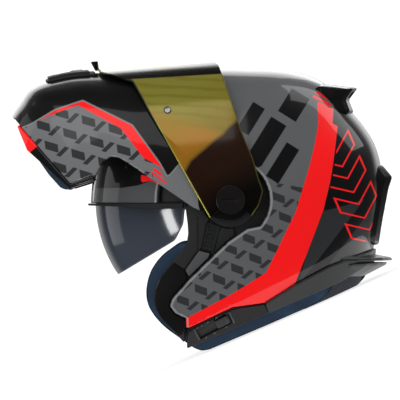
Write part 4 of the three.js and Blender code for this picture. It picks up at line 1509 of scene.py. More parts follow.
def slots(boxes: Sequence[Numbers], depth: float) -> Reach:
    """A push inside boxes, which falls off over their sides.

    Args:
        boxes: (y, z, half width, half height) of each.
        depth: the push in their middles.

    Returns:
        The push at points.
    """
    def push(points: Array) -> Array:
        """The push at points."""
        best = np.zeros(len(points))
        for y, z, wide, tall in boxes:
            inside = np.minimum(wide - np.abs(points[:, 1] - y), tall - np.abs(points[:, 2] - z))
            best = np.maximum(best, np.clip(inside / 0.8, 0, 1))
        return best * depth
    return push


def joined(name: str, parts: Sequence[Piece]) -> Piece:
    """Joins pieces into one.

    Args:
        name: the new piece's name.
        parts: the pieces, which are removed.

    Returns:
        The new piece.
    """
    made = bmesh.new()
    for part in parts:
        made.from_mesh(part.data)
    mesh = bpy.data.meshes.new(name)
    made.to_mesh(mesh)
    made.free()
    for part in parts:
        bpy.data.objects.remove(part)
    return in_scene(name, mesh)


class Finishes:
    """Every finish that the helmet wears, made once."""

    def __init__(self) -> None:
        """Makes the materials."""
        self.gloss = Moulding("gloss_black_trim", srgb(13, 13, 14), 0.24, grain=0.008, coat=0.4).make()
        self.satin = Moulding(
            "satin_black_trim", srgb(40, 41, 42), 0.34, grain=0.02, metallic=0.25).make()
        self.latch = Moulding("catch_black", srgb(30, 31, 32), 0.3, grain=0.01, coat=0.6).make()
        self.matte = Moulding("matte_black_frame", srgb(26, 26, 27), 0.58, grain=0.06).make()
        self.cap = Moulding("pivot_cap_black", srgb(12, 9, 8), 0.34, grain=0.01).make()
        self.floor = Moulding("recess_black", srgb(24, 24, 25), 0.5, grain=0.03).make()
        self.plate = Moulding("catch_grey", srgb(70, 71, 73), 0.4, grain=0.03, coat=0.3).make()
        self.red = Moulding("signal_red", srgb(228, 12, 14), 0.28, coat=0.7).make()
        self.steel = Moulding("pin_steel", srgb(190, 192, 196), 0.26, grain=0.02, metallic=1.0).make()
        self.rubber = Moulding(
            "gasket_rubber", srgb(20, 20, 21), 0.75, grain=0.05, grain_scale=1500).make()
        self.foam = Foam("impact_foam_black", srgb(36, 37, 39)).make()
        self.webbing = Webbing("strap_webbing_black", srgb(20, 20, 21)).make()
        navy, blue = srgb(31, 48, 68), srgb(48, 84, 112)
        self.cheek = Cloth(
            "cheek_knit_navy", navy, blue, accent=srgb(40, 44, 52), piping=srgb(15, 16, 18)).make()
        self.crown = Cloth("crown_knit_grey", srgb(44, 47, 54), srgb(74, 78, 88), ribs=150).make()
        self.roll = Cloth(
            "neck_roll_grey", srgb(48, 50, 56), srgb(84, 88, 98), piping=srgb(14, 14, 16)).make()
        self.curtain = Cloth("chin_curtain_navy", srgb(28, 44, 63), srgb(46, 76, 102), ribs=220).make()
        self.smoke = Lens("sun_visor_smoke", srgb(72, 78, 90)).make()
        self.gold = GoldMirror().make()
        self.shell = Livery("shell_livery").shell()
        self.chin = Livery("chin_bar_livery", 0.8, 0.09).chin()
        self.lip = Livery("chin_lip_paint").lip()


# ---------------- the shell and what is fixed to it
@dataclass
class Shell:
    """The painted shell, its recess, frames, trims, skirt, vents and pivots."""

    finishes: Finishes
    turns: int = 440
    rows: int = 156
    tuck: float = 2.6  # how far the recess floor runs on under the painted skin

    def build(self) -> None:
        """Builds every piece of the shell."""
        self.painted()
        self.recess()
        self.side_frames()
        self.trims()
        self.skirt()
        self.rear()
        self.pivots()

    def painted(self) -> None:
        """The painted skin with its flange down into the recess, and the distances its livery reads."""
        keep = both(beyond(RECESS_EDGE), beyond(EYE_OPENING), beyond(UNDER_TRIM))

        def lap(points: Array) -> Array:
            """Flange depth: to the recess floor along the recess, a wall elsewhere."""
            by_recess = np.abs(reach_in(RECESS_EDGE, points)) < 2.2
            return np.where(by_recess & (np.abs(points[:, 1]) > 40), RECESS + 0.6, SHELL_WALL)
        piece, points = skin_piece(
            "shell_painted", Skin(Form.SHELL), keep, SHELL_WALL, Edge(1.0, 3), self.turns, self.rows,
            lap=lap, backed=True)
        for name, area in (
            ("red", RED_SWOOSH), ("behind", BLACK_REAR), ("brow", BROW), ("brow_band", BROW_BAND),
            ("brow_red", BROW_RED), ("shade", REAR_SHADE),
        ):
            mark(piece, name, reach_in(area, points))
        # reach to the recess edge, for the painted highlight line along it
        mark(piece, "recess_edge_highlight", reach_in(RECESS_EDGE, points) + 1.6)
        dress(
            piece, self.finishes.shell, "shell", "painted_shell", "outer_shell", back=self.finishes.floor)

    def recess(self) -> None:
        """The floor of the side recess, and the rubber along the brow."""
        floor = Skin(Form.SHELL, RECESS, 0.0)
        keep = both(
            within(RECESS_EDGE, -self.tuck), beyond(EYE_OPENING), beyond(UNDER_TRIM),
            away_from(0, 0, 5.3))
        piece, _ = skin_piece("shell_recess_floor", floor, keep, 3.0, Edge(0.5, 2), 360, 130)
        dress(piece, self.finishes.floor, "shell", "matte_trim")
        strip = [[-150, -3.3], [-45.5, -3.3], [-45.5, -8], [-78, -9], [-106, -6.4], [-150, -5]]
        gasket, _ = skin_piece(
            "brow_rubber", Skin(Form.SHELL, -0.6, -2.4), within(strip), 5.0, Edge(0.5, 2), 300, 200,
            (-12.0, 12.0))
        dress(gasket, self.finishes.rubber, "shell", "gasket_rubber", "brow_gasket")

    def side_frames(self) -> None:
        """Matte frames beside the eye port with their glossy front covers, corner plates and catches."""
        port = [[x + 0.4, z] for x, z in EYE_PORT[2:-1]]
        frame = port + [
            [-43.4, -138], [-43.4, -114], [-53.2, -109.6], [-59, -101.8], [-56.4, -93.4], [-40.3, -75],
            [-17.8, -53], [-3, -38.9], [15, -26.7], [30, -14], [-30, 4], [-41.5, 4],
        ]
        cover = [
            [-70, -46.5], [-54.2, -59.9], [-44.2, -66.8], [-40.8, -76], [-30, -84], [-30, -150],
            [-95, -150],
        ]
        catch = [[-22.2, -21.3], [-10.1, -25.6], [-16.1, -48.6], [-27.4, -46.4]]
        plate = [[-30, -48.2], [-17.4, -51.6], [-39.6, -73.4], [-43.4, -67]]
        strip = port[:5] + [[-53.6, -60.6], [-44, -66.2], [-31, -47], [-31, -14]]
        clear = both(beyond(cover, 0.2), beyond(catch, 0.4), beyond(plate, 0.2), away_from(0, 0, 27.5))
        for label, side in SIDES:
            half = one_side(side)
            base, _ = skin_piece(
                "frame_base", Skin(Form.SHELL, FRAME_FRONT, 0.0), both(within(frame), clear, half),
                2.5, Edge(0.45, 2), 420, 190, (-95.0, 60.0))
            bar, _ = skin_piece(
                "frame_strip", Skin(Form.SHELL, FRAME_FRONT - 0.9, 0.0), both(within(strip), clear, half),
                3.0, Edge(0.8, 3), 420, 190, (-95.0, 60.0))
            whole = joined(f"eye_port_frame_{label}", [base, bar])
            dress(whole, self.finishes.matte, "shell", "matte_trim", f"side_frame_{label}")
            front, _ = skin_piece(
                f"front_cover_{label}", Skin(Form.SHELL, FRAME_FRONT - 1.2, 0.0),
                both(within(frame), within(cover, 0.2), half), 3.6, Edge(1.0, 4), 460, 200,
                (-100.0, -20.0))
            dress(front, self.finishes.gloss, "shell", "gloss_trim", f"lower_front_cover_{label}")
            corner, _ = skin_piece(
                f"corner_plate_{label}", Skin(Form.SHELL, FRAME_FRONT - 1.6, 0.0),
                both(within(plate, 0.2), half), 4.0, Edge(0.7, 3), 460, 200, (-90.0, -20.0))
            dress(corner, self.finishes.plate, "shell", "gloss_trim", f"frame_corner_plate_{label}")
            ladder = eased_copy(f"side_catch_{label}", f"ladder_catch_{label}", 0.35)
            dress(ladder, self.finishes.latch, "shell", "gloss_trim")

    def _slot(self, length: float, width: float) -> list:
        """A rectangle of a length and width round the middle of the lever's travel, along the rim."""
        x, z = length / 2, width / 2
        return placed([[-x, -z], [x, -z], [x, z], [-x, z]], 27.5, (-15.5, -120.6))

    def trims(self) -> None:
        """Gloss trims along the front of the rim; the left one carries the sun visor's lever."""
        outline = [
            [-41.6, -124], [2.2, -103.4], [14.8, -101.7], [32.8, -99.4], [36.5, rim_height(36.5)],
            [-41.6, rim_height(-41.6)],
        ]
        for label, side in SIDES:
            keep = both(within(outline), one_side(side))
            if side < 0:
                keep = both(keep, beyond(self._slot(34, 9)))
            trim, _ = skin_piece(
                f"rim_trim_{label}", Skin(Form.SHELL, -1.0), keep, 4.6, Edge(0.8, 3), 520, 200,
                (-130.0, -45.0))
            dress(trim, self.finishes.gloss, "shell", "gloss_trim", f"lower_side_trim_{label}")
        bezel, _ = skin_piece(
            "lever_bezel", Skin(Form.SHELL, -2.1),
            both(within(rounded(self._slot(39, 13.4), 2)), beyond(self._slot(35.6, 10.8)), one_side(-1)),
            1.3, Edge(0.5, 2), 600, 260, (-120.0, -60.0))
        dress(bezel, self.finishes.plate, "shell", "matte_trim")
        backing, _ = skin_piece(
            "lever_track", Skin(Form.SHELL, 1.9), both(within(self._slot(37, 11.4)), one_side(-1)), 1.1,
            Edge(0.3, 2), 600, 260, (-120.0, -60.0))
        dress(backing, self.finishes.matte, "shell", "matte_trim")
        lever = eased_copy("sun_visor_lever", "sun_lever_knob", 0.5)
        dress(lever, self.finishes.satin, "sun_visor_lever", "matte_trim")

    def skirt(self) -> None:
        """The satin skirt round the back, with two blades that flare out behind the neck."""
        outline = [
            [33.1, -99.2], [61, -81.4], [94.6, -63.6], [140.9, -47.3], [172, -38.8], [176, -60],
            [124, rim_height(124) + 3], [106, rim_height(106)], [36.9, rim_height(36.9)],
        ]
        band, _ = skin_piece(
            "skirt_band", Skin(Form.SHELL, -2.6), within(outline), 6.2, Edge(1.1, 4), 420, 190,
            (180.0, 262.0))
        plan = ((6, 157), (24, 153), (43, 147), (62, 136), (76, 122), (83, 108), (84.5, 98))
        upper = (
            (98, -71), (120, -62), (140, -52.5), (156, -55.5), (157, -58.5), (139, -58), (112, -69.5),
        )
        lower = (
            (100, -75), (112, -72.5), (126, -66.5), (132, -67.5), (152, -60), (151, -62.5), (131, -73),
            (108, -79),
        )
        blades = [
            Blade(tuple(rounded(upper, 0.8)), 84, plan).make("blade_upper"),
            Blade(tuple(rounded(lower, 0.8)), 84, tuple((y, x - 5) for y, x in plan)).make("blade_lower"),
        ]
        skirt = joined("rear_skirt_satin", [band, *blades])
        dress(skirt, self.finishes.satin, "shell", "matte_trim", "rear_skirt")

    def rear(self) -> None:
        """The rear spoiler with its two outlets, and the slotted vent strip under it."""
        spoiler = rounded(
            [[90, 112.3], [121, 108.5], [113, 97], [117.5, 85], [98.5, 71.5], [80, 70], [80, 108]], 2)
        plan = ((0, 123), (24, 122), (42, 118), (50, 113), (53.5, 104), (54, 100))
        fin = Blade(tuple(spoiler), 80, plan, 0.86).make(
            "spoiler_fin", slots([(-22, 101.7, 13, 3.0), (22, 101.7, 13, 3.0)], 13), 301, 240)
        dress(fin, self.finishes.gloss, "shell", "gloss_trim", "rear_spoiler")
        strip = rounded(
            [[136, 38], [146.3, 33.5], [155.1, 22.4], [151.6, 11.2], [146, -20.5], [142.6, -43],
             [125, -46], [125, 20]], 2)
        plan = ((0, 157), (22, 156), (34, 150), (41, 141), (44, 132))
        vent = Blade(tuple(strip), 120, plan, 0.9).make(
            "vent_strip", slots([(0, z, 18, 2.2) for z in (-28, -16, -4)], 7), 241, 300)
        dress(vent, self.finishes.gloss, "shell", "gloss_trim", "rear_vent")

    def pivots(self) -> None:
        """The pivot plates and the caps over the visor's pivots."""
        for label, _ in SIDES:
            plate = eased_copy(f"pivot_plate_{label}", f"hinge_plate_{label}", 0.4)
            dress(plate, self.finishes.satin, "shell", "matte_trim")
            cap = eased_copy(f"pivot_cap_{label}", f"hinge_cap_{label}", 0.5)
            dress(cap, self.finishes.cap, "shell", "gloss_trim")


# ---------------- lenses
# Side-view outlines of the visor's painted reflections: a dark patch and an amber patch.
VISOR_DARK_REFLECTION = [
    [-15.2, 57.8], [-38.6, 37.8], [-45.3, 25.5], [-39.8, 11.1], [-25, -20], [-5, -40], [50, -40],
    [50, 30], [8, 78], [-2, 70], [-8, 63],
]
VISOR_AMBER_REFLECTION = [
    [-110, 82], [-78, 86], [-62, 82], [-28, 72], [-14, 66], [-8, 60], [-15.2, 55], [-38.6, 35], [-50, 10],
    [-130, 60],
]


@dataclass
class FaceVisor:
    """The raised visor with its mirror coat, lift tab and insert pins."""

    finishes: Finishes
    wall: float = 2.2
    bore: float = 11.7

    def build(self) -> None:
        """Builds the visor."""
        outline = rounded([
            [2, -23.5], [-13.5, -22.5], [-17.5, -21.5], [-94, 114.5], [-116, 120.5], [-128, 124.5],
            [-140, 160], [-19.5, 170], [-19.5, 136], [-11.5, 131], [2, 92], [9.5, 68], [21.5, 39],
            [27, 19.5], [31, 8.5], [27, -5], [18.5, -17.5],
        ], 2)
        keep = both(
            within(outline), away_from(0, 0, self.bore), away_from(-60, 86, 3.3))
        pane, points = skin_piece(
            "visor_mirrored", Skin(Form.VISOR), keep, self.wall, Edge(0.5, 3), 520, 190, (-40.0, 215.0))
        mark(pane, "rim", np.maximum(reach_in(outline, points), 0.0))
        # where the painted dark and amber reflections lie on the visor
        mark(pane, "dark", reach_in(VISOR_DARK_REFLECTION, points))
        mark(pane, "amber", reach_in(VISOR_AMBER_REFLECTION, points))
        tab_outline = [[-121, 127], [-125, 123], [-140, 138.5], [-134, 140.5]]
        tab, _ = skin_piece(
            "visor_tab", Skin(Form.VISOR, -9.0),
            both(within(tab_outline), lambda p: 17 - np.abs(p[:, 1])), 8.6, Edge(0.6, 3), 700, 420,
            (38.0, 52.0))
        dress(tab, self.finishes.gloss, "visor", "gloss_trim")
        dress(pane, self.finishes.gold, "visor", "gold_lens", "visor")
        for label, _ in SIDES:
            pin = eased_copy(f"fog_pin_{label}", f"insert_pin_{label}", 0.5, 40)
            dress(pin, self.finishes.steel, "visor", "pin_metal")


@dataclass
class SunVisor:
    """The smoked inner visor, lowered."""

    finishes: Finishes
    wall: float = 2.0

    def build(self) -> None:
        """Builds the sun visor."""
        outline = rounded([
            [-132, 16], [-131, -5], [-130, -24], [-125, -50.5], [-117, -73], [-112, -74.5], [-53.5, -39],
            [-46, -24], [-44.5, -9], [0, -9], [0, 9], [-60, 16],
        ], 2)

        def nose(points: Array) -> Array:
            """Reach outside the rounded notch over the nose."""
            rise = -66 - 8 * (points[:, 1] / 15.0) ** 2
            low = np.maximum(np.abs(points[:, 1]) - 15, points[:, 2] - rise)
            return np.where(points[:, 0] < -90, low, 50.0)
        keep = both(either(within(outline), near_pivot(9)), away_from(0, 0, PIN_BORE), nose)
        pane, points = skin_piece(
            "sun_visor_smoked", Skin(Form.SUN), keep, self.wall, Edge(0.45, 3), 420, 220, (-180.0, 180.0))
        mark(pane, "rim", np.maximum(keep(points), 0.0))
        dress(pane, self.finishes.smoke, "sun_visor", "smoke_lens", "sun_visor")


# ---------------- the chin bar
@dataclass
class ChinBar:
    """The raised chin bar: painted shell, red lip, vent, foam, release button, hooks and curtain."""

    finishes: Finishes
    vent: Pair = (33.0, 43.6)  # first and last turn of the vent, in degrees
    hole_in: float = 3.4  # degrees that the hole under the vent is drawn in at each end

    def build(self) -> None:
        """Builds every piece of the chin bar."""
        self.shell()
        self.vent_parts()
        self.inside()

    def shell(self) -> None:
        """The painted shell with its bevelled lower edge, and the red lip along its front."""
        arm = [
            [0, -20], [-12, -18], [-36, -7], [-99, 36], [-106.5, 40.5], [-114.5, 41.5], [-121.5, 37.5],
            [-125.5, 30.5], [-129, 23.5], [-153.5, 15.5],
        ]
        outline = arm + [
            [-211.5, 80.5], [-240, 112], [-240, 160], [-112, 160], [-99, 128], [-88, 108], [-44, 40],
            [-14, 14.5], [0, 0],
        ]
        lip = [
            [-130, 23.2], [-153.4, 15.2], [-209, 78], [-207.4, 74], [-196, 48], [-154, 11], [-130, 18.5],
        ]
        low, high = self.vent[0] + self.hole_in, self.vent[1] - self.hole_in
        keep = both(
            either(within(outline), near_pivot(20)), beyond(lip, SEAT), away_from(0, 0, PIN_BORE),
            lambda p: -in_sector(p, low, high, 16))
        piece, points = skin_piece(
            "chin_bar_painted", Skin(Form.CHIN, 1.0), keep, CHIN_WALL, Edge(1.3, 4), 560, 240,
            (-180.0, 180.0), backed=True)
        mark(piece, "red", reach_in(CHIN_RED, points))
        mark(piece, "top", reach_in(CHIN_TOP, points))
        # reach into the hub, where the livery paints the shadow under the visor black
        mark(piece, "hub_painted_shadow", near_pivot(31.0)(points))
        dress(
            piece, self.finishes.chin, "chin_bar", "painted_shell", "chin_bar_shell",
            back=self.finishes.floor)
        rim, _ = skin_piece(
            "chin_lip_red", Skin(Form.CHIN), within(lip), 6.0, Edge(1.2, 4), 520, 240, (-10.0, 60.0))
        dress(rim, self.finishes.lip, "chin_bar", "red_plastic", "chin_bar_lip")

    def _bay(self, points: Array) -> Array:
        """Reach inside the bay that the vent's slider travels in."""
        return in_sector(points, self.vent[0] + 2.9, self.vent[1] - 1.6, 15.2)

    def _inlet(self, points: Array) -> Array:
        """Reach inside the air inlet in the bay's floor."""
        return in_sector(points, self.vent[0] + 3.6, self.vent[1] - 5.2, 12.5)

    def _pad(
        self, name: str, height: float, draw_in: float, wall: float, front: float = 24, back: float = 36
    ) -> Piece:
        """A raised pad over the vent, open over the slider's bay.

        Args:
            name: the piece's name.
            height: how far it stands over the chin bar's own surface.
            draw_in: how far its ends draw in, in degrees and millimetres.
            wall: thickness.
            front: half width at the front.
            back: half width at the back.

        Returns:
            The pad.
        """
        def keep(points: Array) -> Array:
            """Reach inside the pad's outline."""
            half = np.interp(points[:, 0], [-230, -190, -120], [front, front, back]) - draw_in
            reach = in_sector(points, self.vent[0] + draw_in, self.vent[1] - draw_in, half)
            return np.minimum(reach, -self._bay(points))
        pad, _ = skin_piece(
            name, Skin(Form.CHIN, -height), keep, wall, Edge(1.2, 4), 300, 420, (28.0, 48.0))
        return pad

    def vent_parts(self) -> None:
        """The stepped pad of the chin vent, the floor of its bay with the air inlet, and the slider."""
        floor, _ = skin_piece(
            "vent_floor", Skin(Form.CHIN, -0.4),
            lambda p: np.minimum(self._bay(p) + 1.5, -self._inlet(p)), 1.4, Edge(0.4, 2), 300, 420,
            (28.0, 48.0))
        steps = [self._pad("vent_step_low", 2.0, 0.0, 2.6), self._pad("vent_step_high", 4.8, 0.9, 3.0)]
        pad = joined("chin_vent_pad", [*steps, floor])
        dress(pad, self.finishes.matte, "chin_bar", "gloss_trim", "chin_vent_body")
        slider = eased_copy("chin_vent_slider", "chin_vent_slide", 0.5)
        dress(slider, self.finishes.satin, "chin_vent_slider", "matte_trim")

    def inside(self) -> None:
        """The foam, button, hooks and curtain inside the chin bar."""
        button = eased_copy("release_button", "release_thumb_button", 1.2)
        dress(button, self.finishes.matte, "release_button", "matte_trim")
        for label, _ in SIDES:
            hook = eased_copy(f"latch_hook_{label}", f"steel_hook_{label}", 0.3)
            dress(hook, self.finishes.steel, f"latch_hook_{label}", "pin_metal")
        outline = rounded([
            [-218, 87], [-207, 77], [-197, 60], [-186, 40], [-174.5, 24], [-163, 11.5], [-157, 9.5],
            [-151.5, 13.5], [-157, 24], [-190, 60], [-214, 94],
        ], 1.5)
        keep = within(outline)
        sheet = trimmed(Skin(Form.CHIN, 6.8), lambda p: keep(p) - 1.3, 420, 260, (-5.0, 30.0))
        swell = np.clip(keep(sheet.points) / 7.0, 0, 1)
        sheet.points = sheet.points + sheet.normals * (0.9 * np.sqrt(swell) - 0.4)[:, None]
        cloth = mesh_object("chin_curtain_knit", *moulded(sheet, 3.2, Edge(1.3, 4)))
        dress(cloth, self.finishes.curtain, "chin_bar", "curtain_cloth", "chin_curtain")


# ---------------- soft lining
def inner_wall(points: Array, clearance: float) -> Array:
    """Distance from the middle plane to the inside of the shell over side-view points.

    Under the recess the shell steps in; the step is crossed over a few millimetres.

    Args:
        points: points in drawing millimetres.
        clearance: space kept from the shell.

    Returns:
        The distance for each point.
    """
    x, z = points[:, 0], points[:, 2]
    plain = Skin(Form.SHELL, SHELL_WALL + clearance).side_reach(x, z)
    stepped = Skin(Form.SHELL, RECESS + SHELL_WALL + clearance, SHELL_WALL + clearance).side_reach(x, z)
    share = np.clip((reach_in(RECESS_EDGE, points) + 8.0) / 4.0, 0, 1)
    return plain + (np.minimum(stepped, plain) - plain) * share


@dataclass(frozen=True)
class Filling:
    """Air pressure that plumps a sewn pad in Blender's cloth, gravity off."""

    pressure: float = 4.0
    voxel: float = 0.005  # metres between the points of the simulated copy
    frames: int = 20
    cap: float = 0.005  # metres that a point may move
    spread: float = 0.005  # metres over which moves are averaged

    def moves(self, piece: Piece, fixed: Callable[[Array], Array]) -> Array:
        """How far each of a pad's points moves as the pad fills.

        A remeshed copy is blown up and its points' moves are capped. Each point of the pad takes the mean
        of the moves round it, weighed by exp(-d^2 / 2s^2) over the distance d. The copy is then removed,
        so the pad keeps its own seams.

        Args:
            piece: the pad, closed, with its place in its mesh.
            fixed: which points, given in metres, are held.

        Returns:
            One move for each point of the pad, in metres.
        """
        scene = bpy.context.scene
        copy = in_scene("filling", piece.data.copy())
        remesh = copy.modifiers.new("even", "REMESH")
        remesh.mode, remesh.voxel_size = "VOXEL", self.voxel
        even = bpy.data.meshes.new_from_object(copy.evaluated_get(bpy.context.evaluated_depsgraph_get()))
        copy.modifiers.clear()
        copy.data = even
        start = points_of(even)
        held = copy.vertex_groups.new(name="held")
        held.add(np.flatnonzero(fixed(start)).tolist(), 1.0, "REPLACE")
        cloth = copy.modifiers.new("air", "CLOTH")
        cloth.settings.use_pressure = True
        cloth.settings.uniform_pressure_force = self.pressure
        cloth.settings.vertex_group_mass = "held"
        cloth.settings.effector_weights.gravity = 0.0
        cloth.collision_settings.use_collision = False
        cloth.point_cache.frame_start, cloth.point_cache.frame_end = 1, self.frames
        for frame in range(1, self.frames + 1):
            scene.frame_set(frame)
        blown = copy.evaluated_get(bpy.context.evaluated_depsgraph_get()).data
        way = points_of(blown) - start
        length = np.maximum(np.linalg.norm(way, axis=1, keepdims=True), 1e-9)
        way *= np.minimum(1.0, self.cap / length)
        scene.frame_set(1)
        bpy.data.objects.remove(copy)
        found = []
        for part in np.array_split(points_of(piece.data), 24):
            gap = ((part[:, None, :] - start[None, :, :]) ** 2).sum(2)
            weight = np.exp(-gap / (2 * self.spread**2)) + 1e-12
            found.append(weight @ way / weight.sum(1, keepdims=True))
        log.info(
            "%s: filled, %d points simulated, mean move %.2f mm, most %.2f mm", piece.name, len(start),
            1000 * length.mean(), 1000 * length.max())
        return np.concatenate(found)


def points_of(mesh: bpy.types.Mesh) -> Array:
    """A mesh's points as an array."""
    found = np.empty(len(mesh.vertices) * 3, np.float32)
    mesh.vertices.foreach_get("co", found)
    return found.reshape(-1, 3).astype(float)


def set_points(mesh: bpy.types.Mesh, points: Array) -> None:
    """Moves a mesh's points."""
    mesh.vertices.foreach_set("co", points.astype(np.float32).ravel())
    mesh.update()


@dataclass
class CheekPad:
    """A cheek cushion: full at its edge, its inner face crowned, a sewn channel and piping round it.

    Its rings are the side outline shrunk towards a middle. The inner face rises by a power of its share of
    the outline, with a bell-shaped dip at the channel and half a sine wave of puff outside it.
    """

    finishes: Finishes
    crown: float = 13.0
    depth: float = 50.0
    channel: float = 0.66
    turns: int = 300
    middle: Pair = (-14.0, -88.0)
    slack: float = 0.6  # how much smaller the pad is cut than it is when filled
    panel_rows: int = 60  # rings of the inner face that the centre panel may take
    piping_rows: Pair = (84.0, 97.0)  # rings that the two lines of piping follow

    def outline(self) -> list:
        """The pad's rounded side outline.

        Returns:
            The closed outline.
        """
        return rounded([
            [-46, -38], [-57, -46.5], [-66, -52.5], [-77, -66], [-82, -86], [-79.5, -103], [-65, -121],
            rim_point(-84, PAD_BOTTOM), rim_point(ROLL_START - 0.3, PAD_BOTTOM),
            rim_point(ROLL_START + 19.7, RIM_DROP), rim_point(ROLL_START + 12, ROLL_TOP), [26, -50],
            [-10, -44],
        ], 9)

    def profile(self) -> tuple[Array, Array]:
        """The pad's section, from its inner face to its back.

        Returns:
            Each ring's share of the outline's reach, and its distance from the middle plane.
        """
        share = np.concatenate([np.linspace(0.02, 0.94, 74), [0.962, 0.978, 0.99, 0.997, 1.0]])
        dip = 3.0 * np.exp(-(((share - self.channel) / 0.035) ** 2))
        puff = 1.6 * np.sin(np.clip((share - self.channel) / (1 - self.channel), 0, 1) * math.pi)
        inner = PAD_INSIDE + self.crown * share**2.6 + dip - puff
        inner[-5:] = PAD_INSIDE + self.crown + np.array([0.4, 1.6, 3.2, 5.2, 7.5])
        side = np.linspace(PAD_INSIDE + self.crown + 9, PAD_INSIDE + self.depth - 5, 22)
        bulge = 1.0 - 0.012 * np.cos(np.linspace(0, 2 * math.pi, 22))
        back = [[0.99, -2.5], [0.975, -0.8], [0.95, 0.0], [0.7, 0.0], [0.4, 0.0], [0.1, 0.0]]
        shares = np.concatenate([share, np.minimum(bulge, 1.0), [b[0] for b in back]])
        across = np.concatenate([inner, side, [PAD_INSIDE + self.depth + b[1] for b in back]])
        return shares, across

    def reach(self, angle: Array) -> Array:
        """How far the outline lies from the pad's middle.

        Args:
            angle: angles in side view.

        Returns:
            The distance to the nearest edge that a ray meets.
        """
        ends = np.asarray(self.outline())
        nxt = np.roll(ends, -1, 0)
        dx, dz = np.cos(angle)[:, None], np.sin(angle)[:, None]
        ex, ez = (nxt - ends).T
        px, pz = (ends - np.array(self.middle)).T
        cross = dx * ez - dz * ex
        cross = np.where(np.abs(cross) < 1e-12, 1e-12, cross)
        along, away = (px * dz - pz * dx) / cross, (px * ez - pz * ex) / cross
        hit = (along >= -1e-9) & (along <= 1 + 1e-9) & (away > 0)
        return np.where(hit, away, np.inf).min(1)

    def build(self) -> None:
        """Builds both pads."""
        shares, across = self.profile()
        angle = np.linspace(0, 2 * math.pi, self.turns + 1)[:-1]
        reach = self.reach(angle) - self.slack
        kernel = np.hanning(9) / np.hanning(9).sum()
        reach = np.convolve(np.concatenate([reach[-4:], reach, reach[:4]]), kernel, "valid")
        for label, side in SIDES:
            wrinkle = 0.5 * np.sin(angle * 9 + 0.7) + 0.4 * np.sin(angle * 17 + side)
            radius = reach[None, :] * shares[:, None]
            x = self.middle[0] + np.cos(angle) * radius
            z = self.middle[1] + np.sin(angle) * radius
            flat = np.stack([x.ravel(), np.zeros(x.size), z.ravel()], 1)
            wall = inner_wall(flat, 1.6).reshape(x.shape)
            crease = np.exp(-(((shares - 0.86) / 0.07) ** 2))[:, None] * wrinkle[None, :] * 0.8
            y = np.minimum(np.broadcast_to(across[:, None], x.shape) + crease, wall)
            rings = np.stack([x, side * y, z], 2)
            piece = facing_out(self._stitched(f"cheek_cushion_{label}", rings, shares))
            self._fill(piece, side)
            dress(piece, self.finishes.cheek, "shell", "lining_cloth", f"cheek_pad_{label}")

    def _fill(self, piece: Piece, side: int) -> None:
        """Plumps a pad, held along its back, and keeps it inside the shell and clear of the head.

        Args:
            piece: the pad.
            side: 1 on the wearer's right, -1 on the left.
        """
        back = (PAD_INSIDE + self.depth - 14) / 1000.0
        moves = Filling().moves(piece, lambda p: side * p[:, 1] > back)
        points = from_row(points_of(piece.data) + moves)
        across = np.clip(side * points[:, 1], PAD_INSIDE - 2.5, inner_wall(points, 1.6))
        sunk = np.maximum(SIN_TILT * points[:, 0] - COS_TILT * points[:, 2] - PAD_BOTTOM, 0)
        points += np.stack([-sunk * SIN_TILT, np.zeros(len(points)), sunk * COS_TILT], 1)
        points[:, 1] = side * across
        set_points(piece.data, to_row(points))

    def _stitched(self, name: str, rings: Array, shares: Array) -> Piece:
        """Makes the cushion's mesh and marks its centre panel and piping.

        Args:
            name: the piece's name.
            rings: its rings of points.
            shares: each ring's share of the outline.

        Returns:
            The cushion.
        """
        piece = mesh_object(name, *tube(rings))
        order = np.arange(len(shares))
        inner = (order < self.panel_rows) & (shares < self.channel - 0.01)
        count = rings.shape[1]
        panel = np.concatenate([np.repeat(inner.astype(float), count), [1.0, 0.0]])
        first, last = self.piping_rows
        seam = np.exp(-(((order - first) / 1.6) ** 2)) + np.exp(-(((order - last) / 1.2) ** 2))
        piping = np.concatenate([np.repeat(np.clip(seam * 1.3, 0, 1), count), [0.0, 0.0]])
        mark(piece, "panel", panel)
        mark(piece, "piping", piping)
        return piece


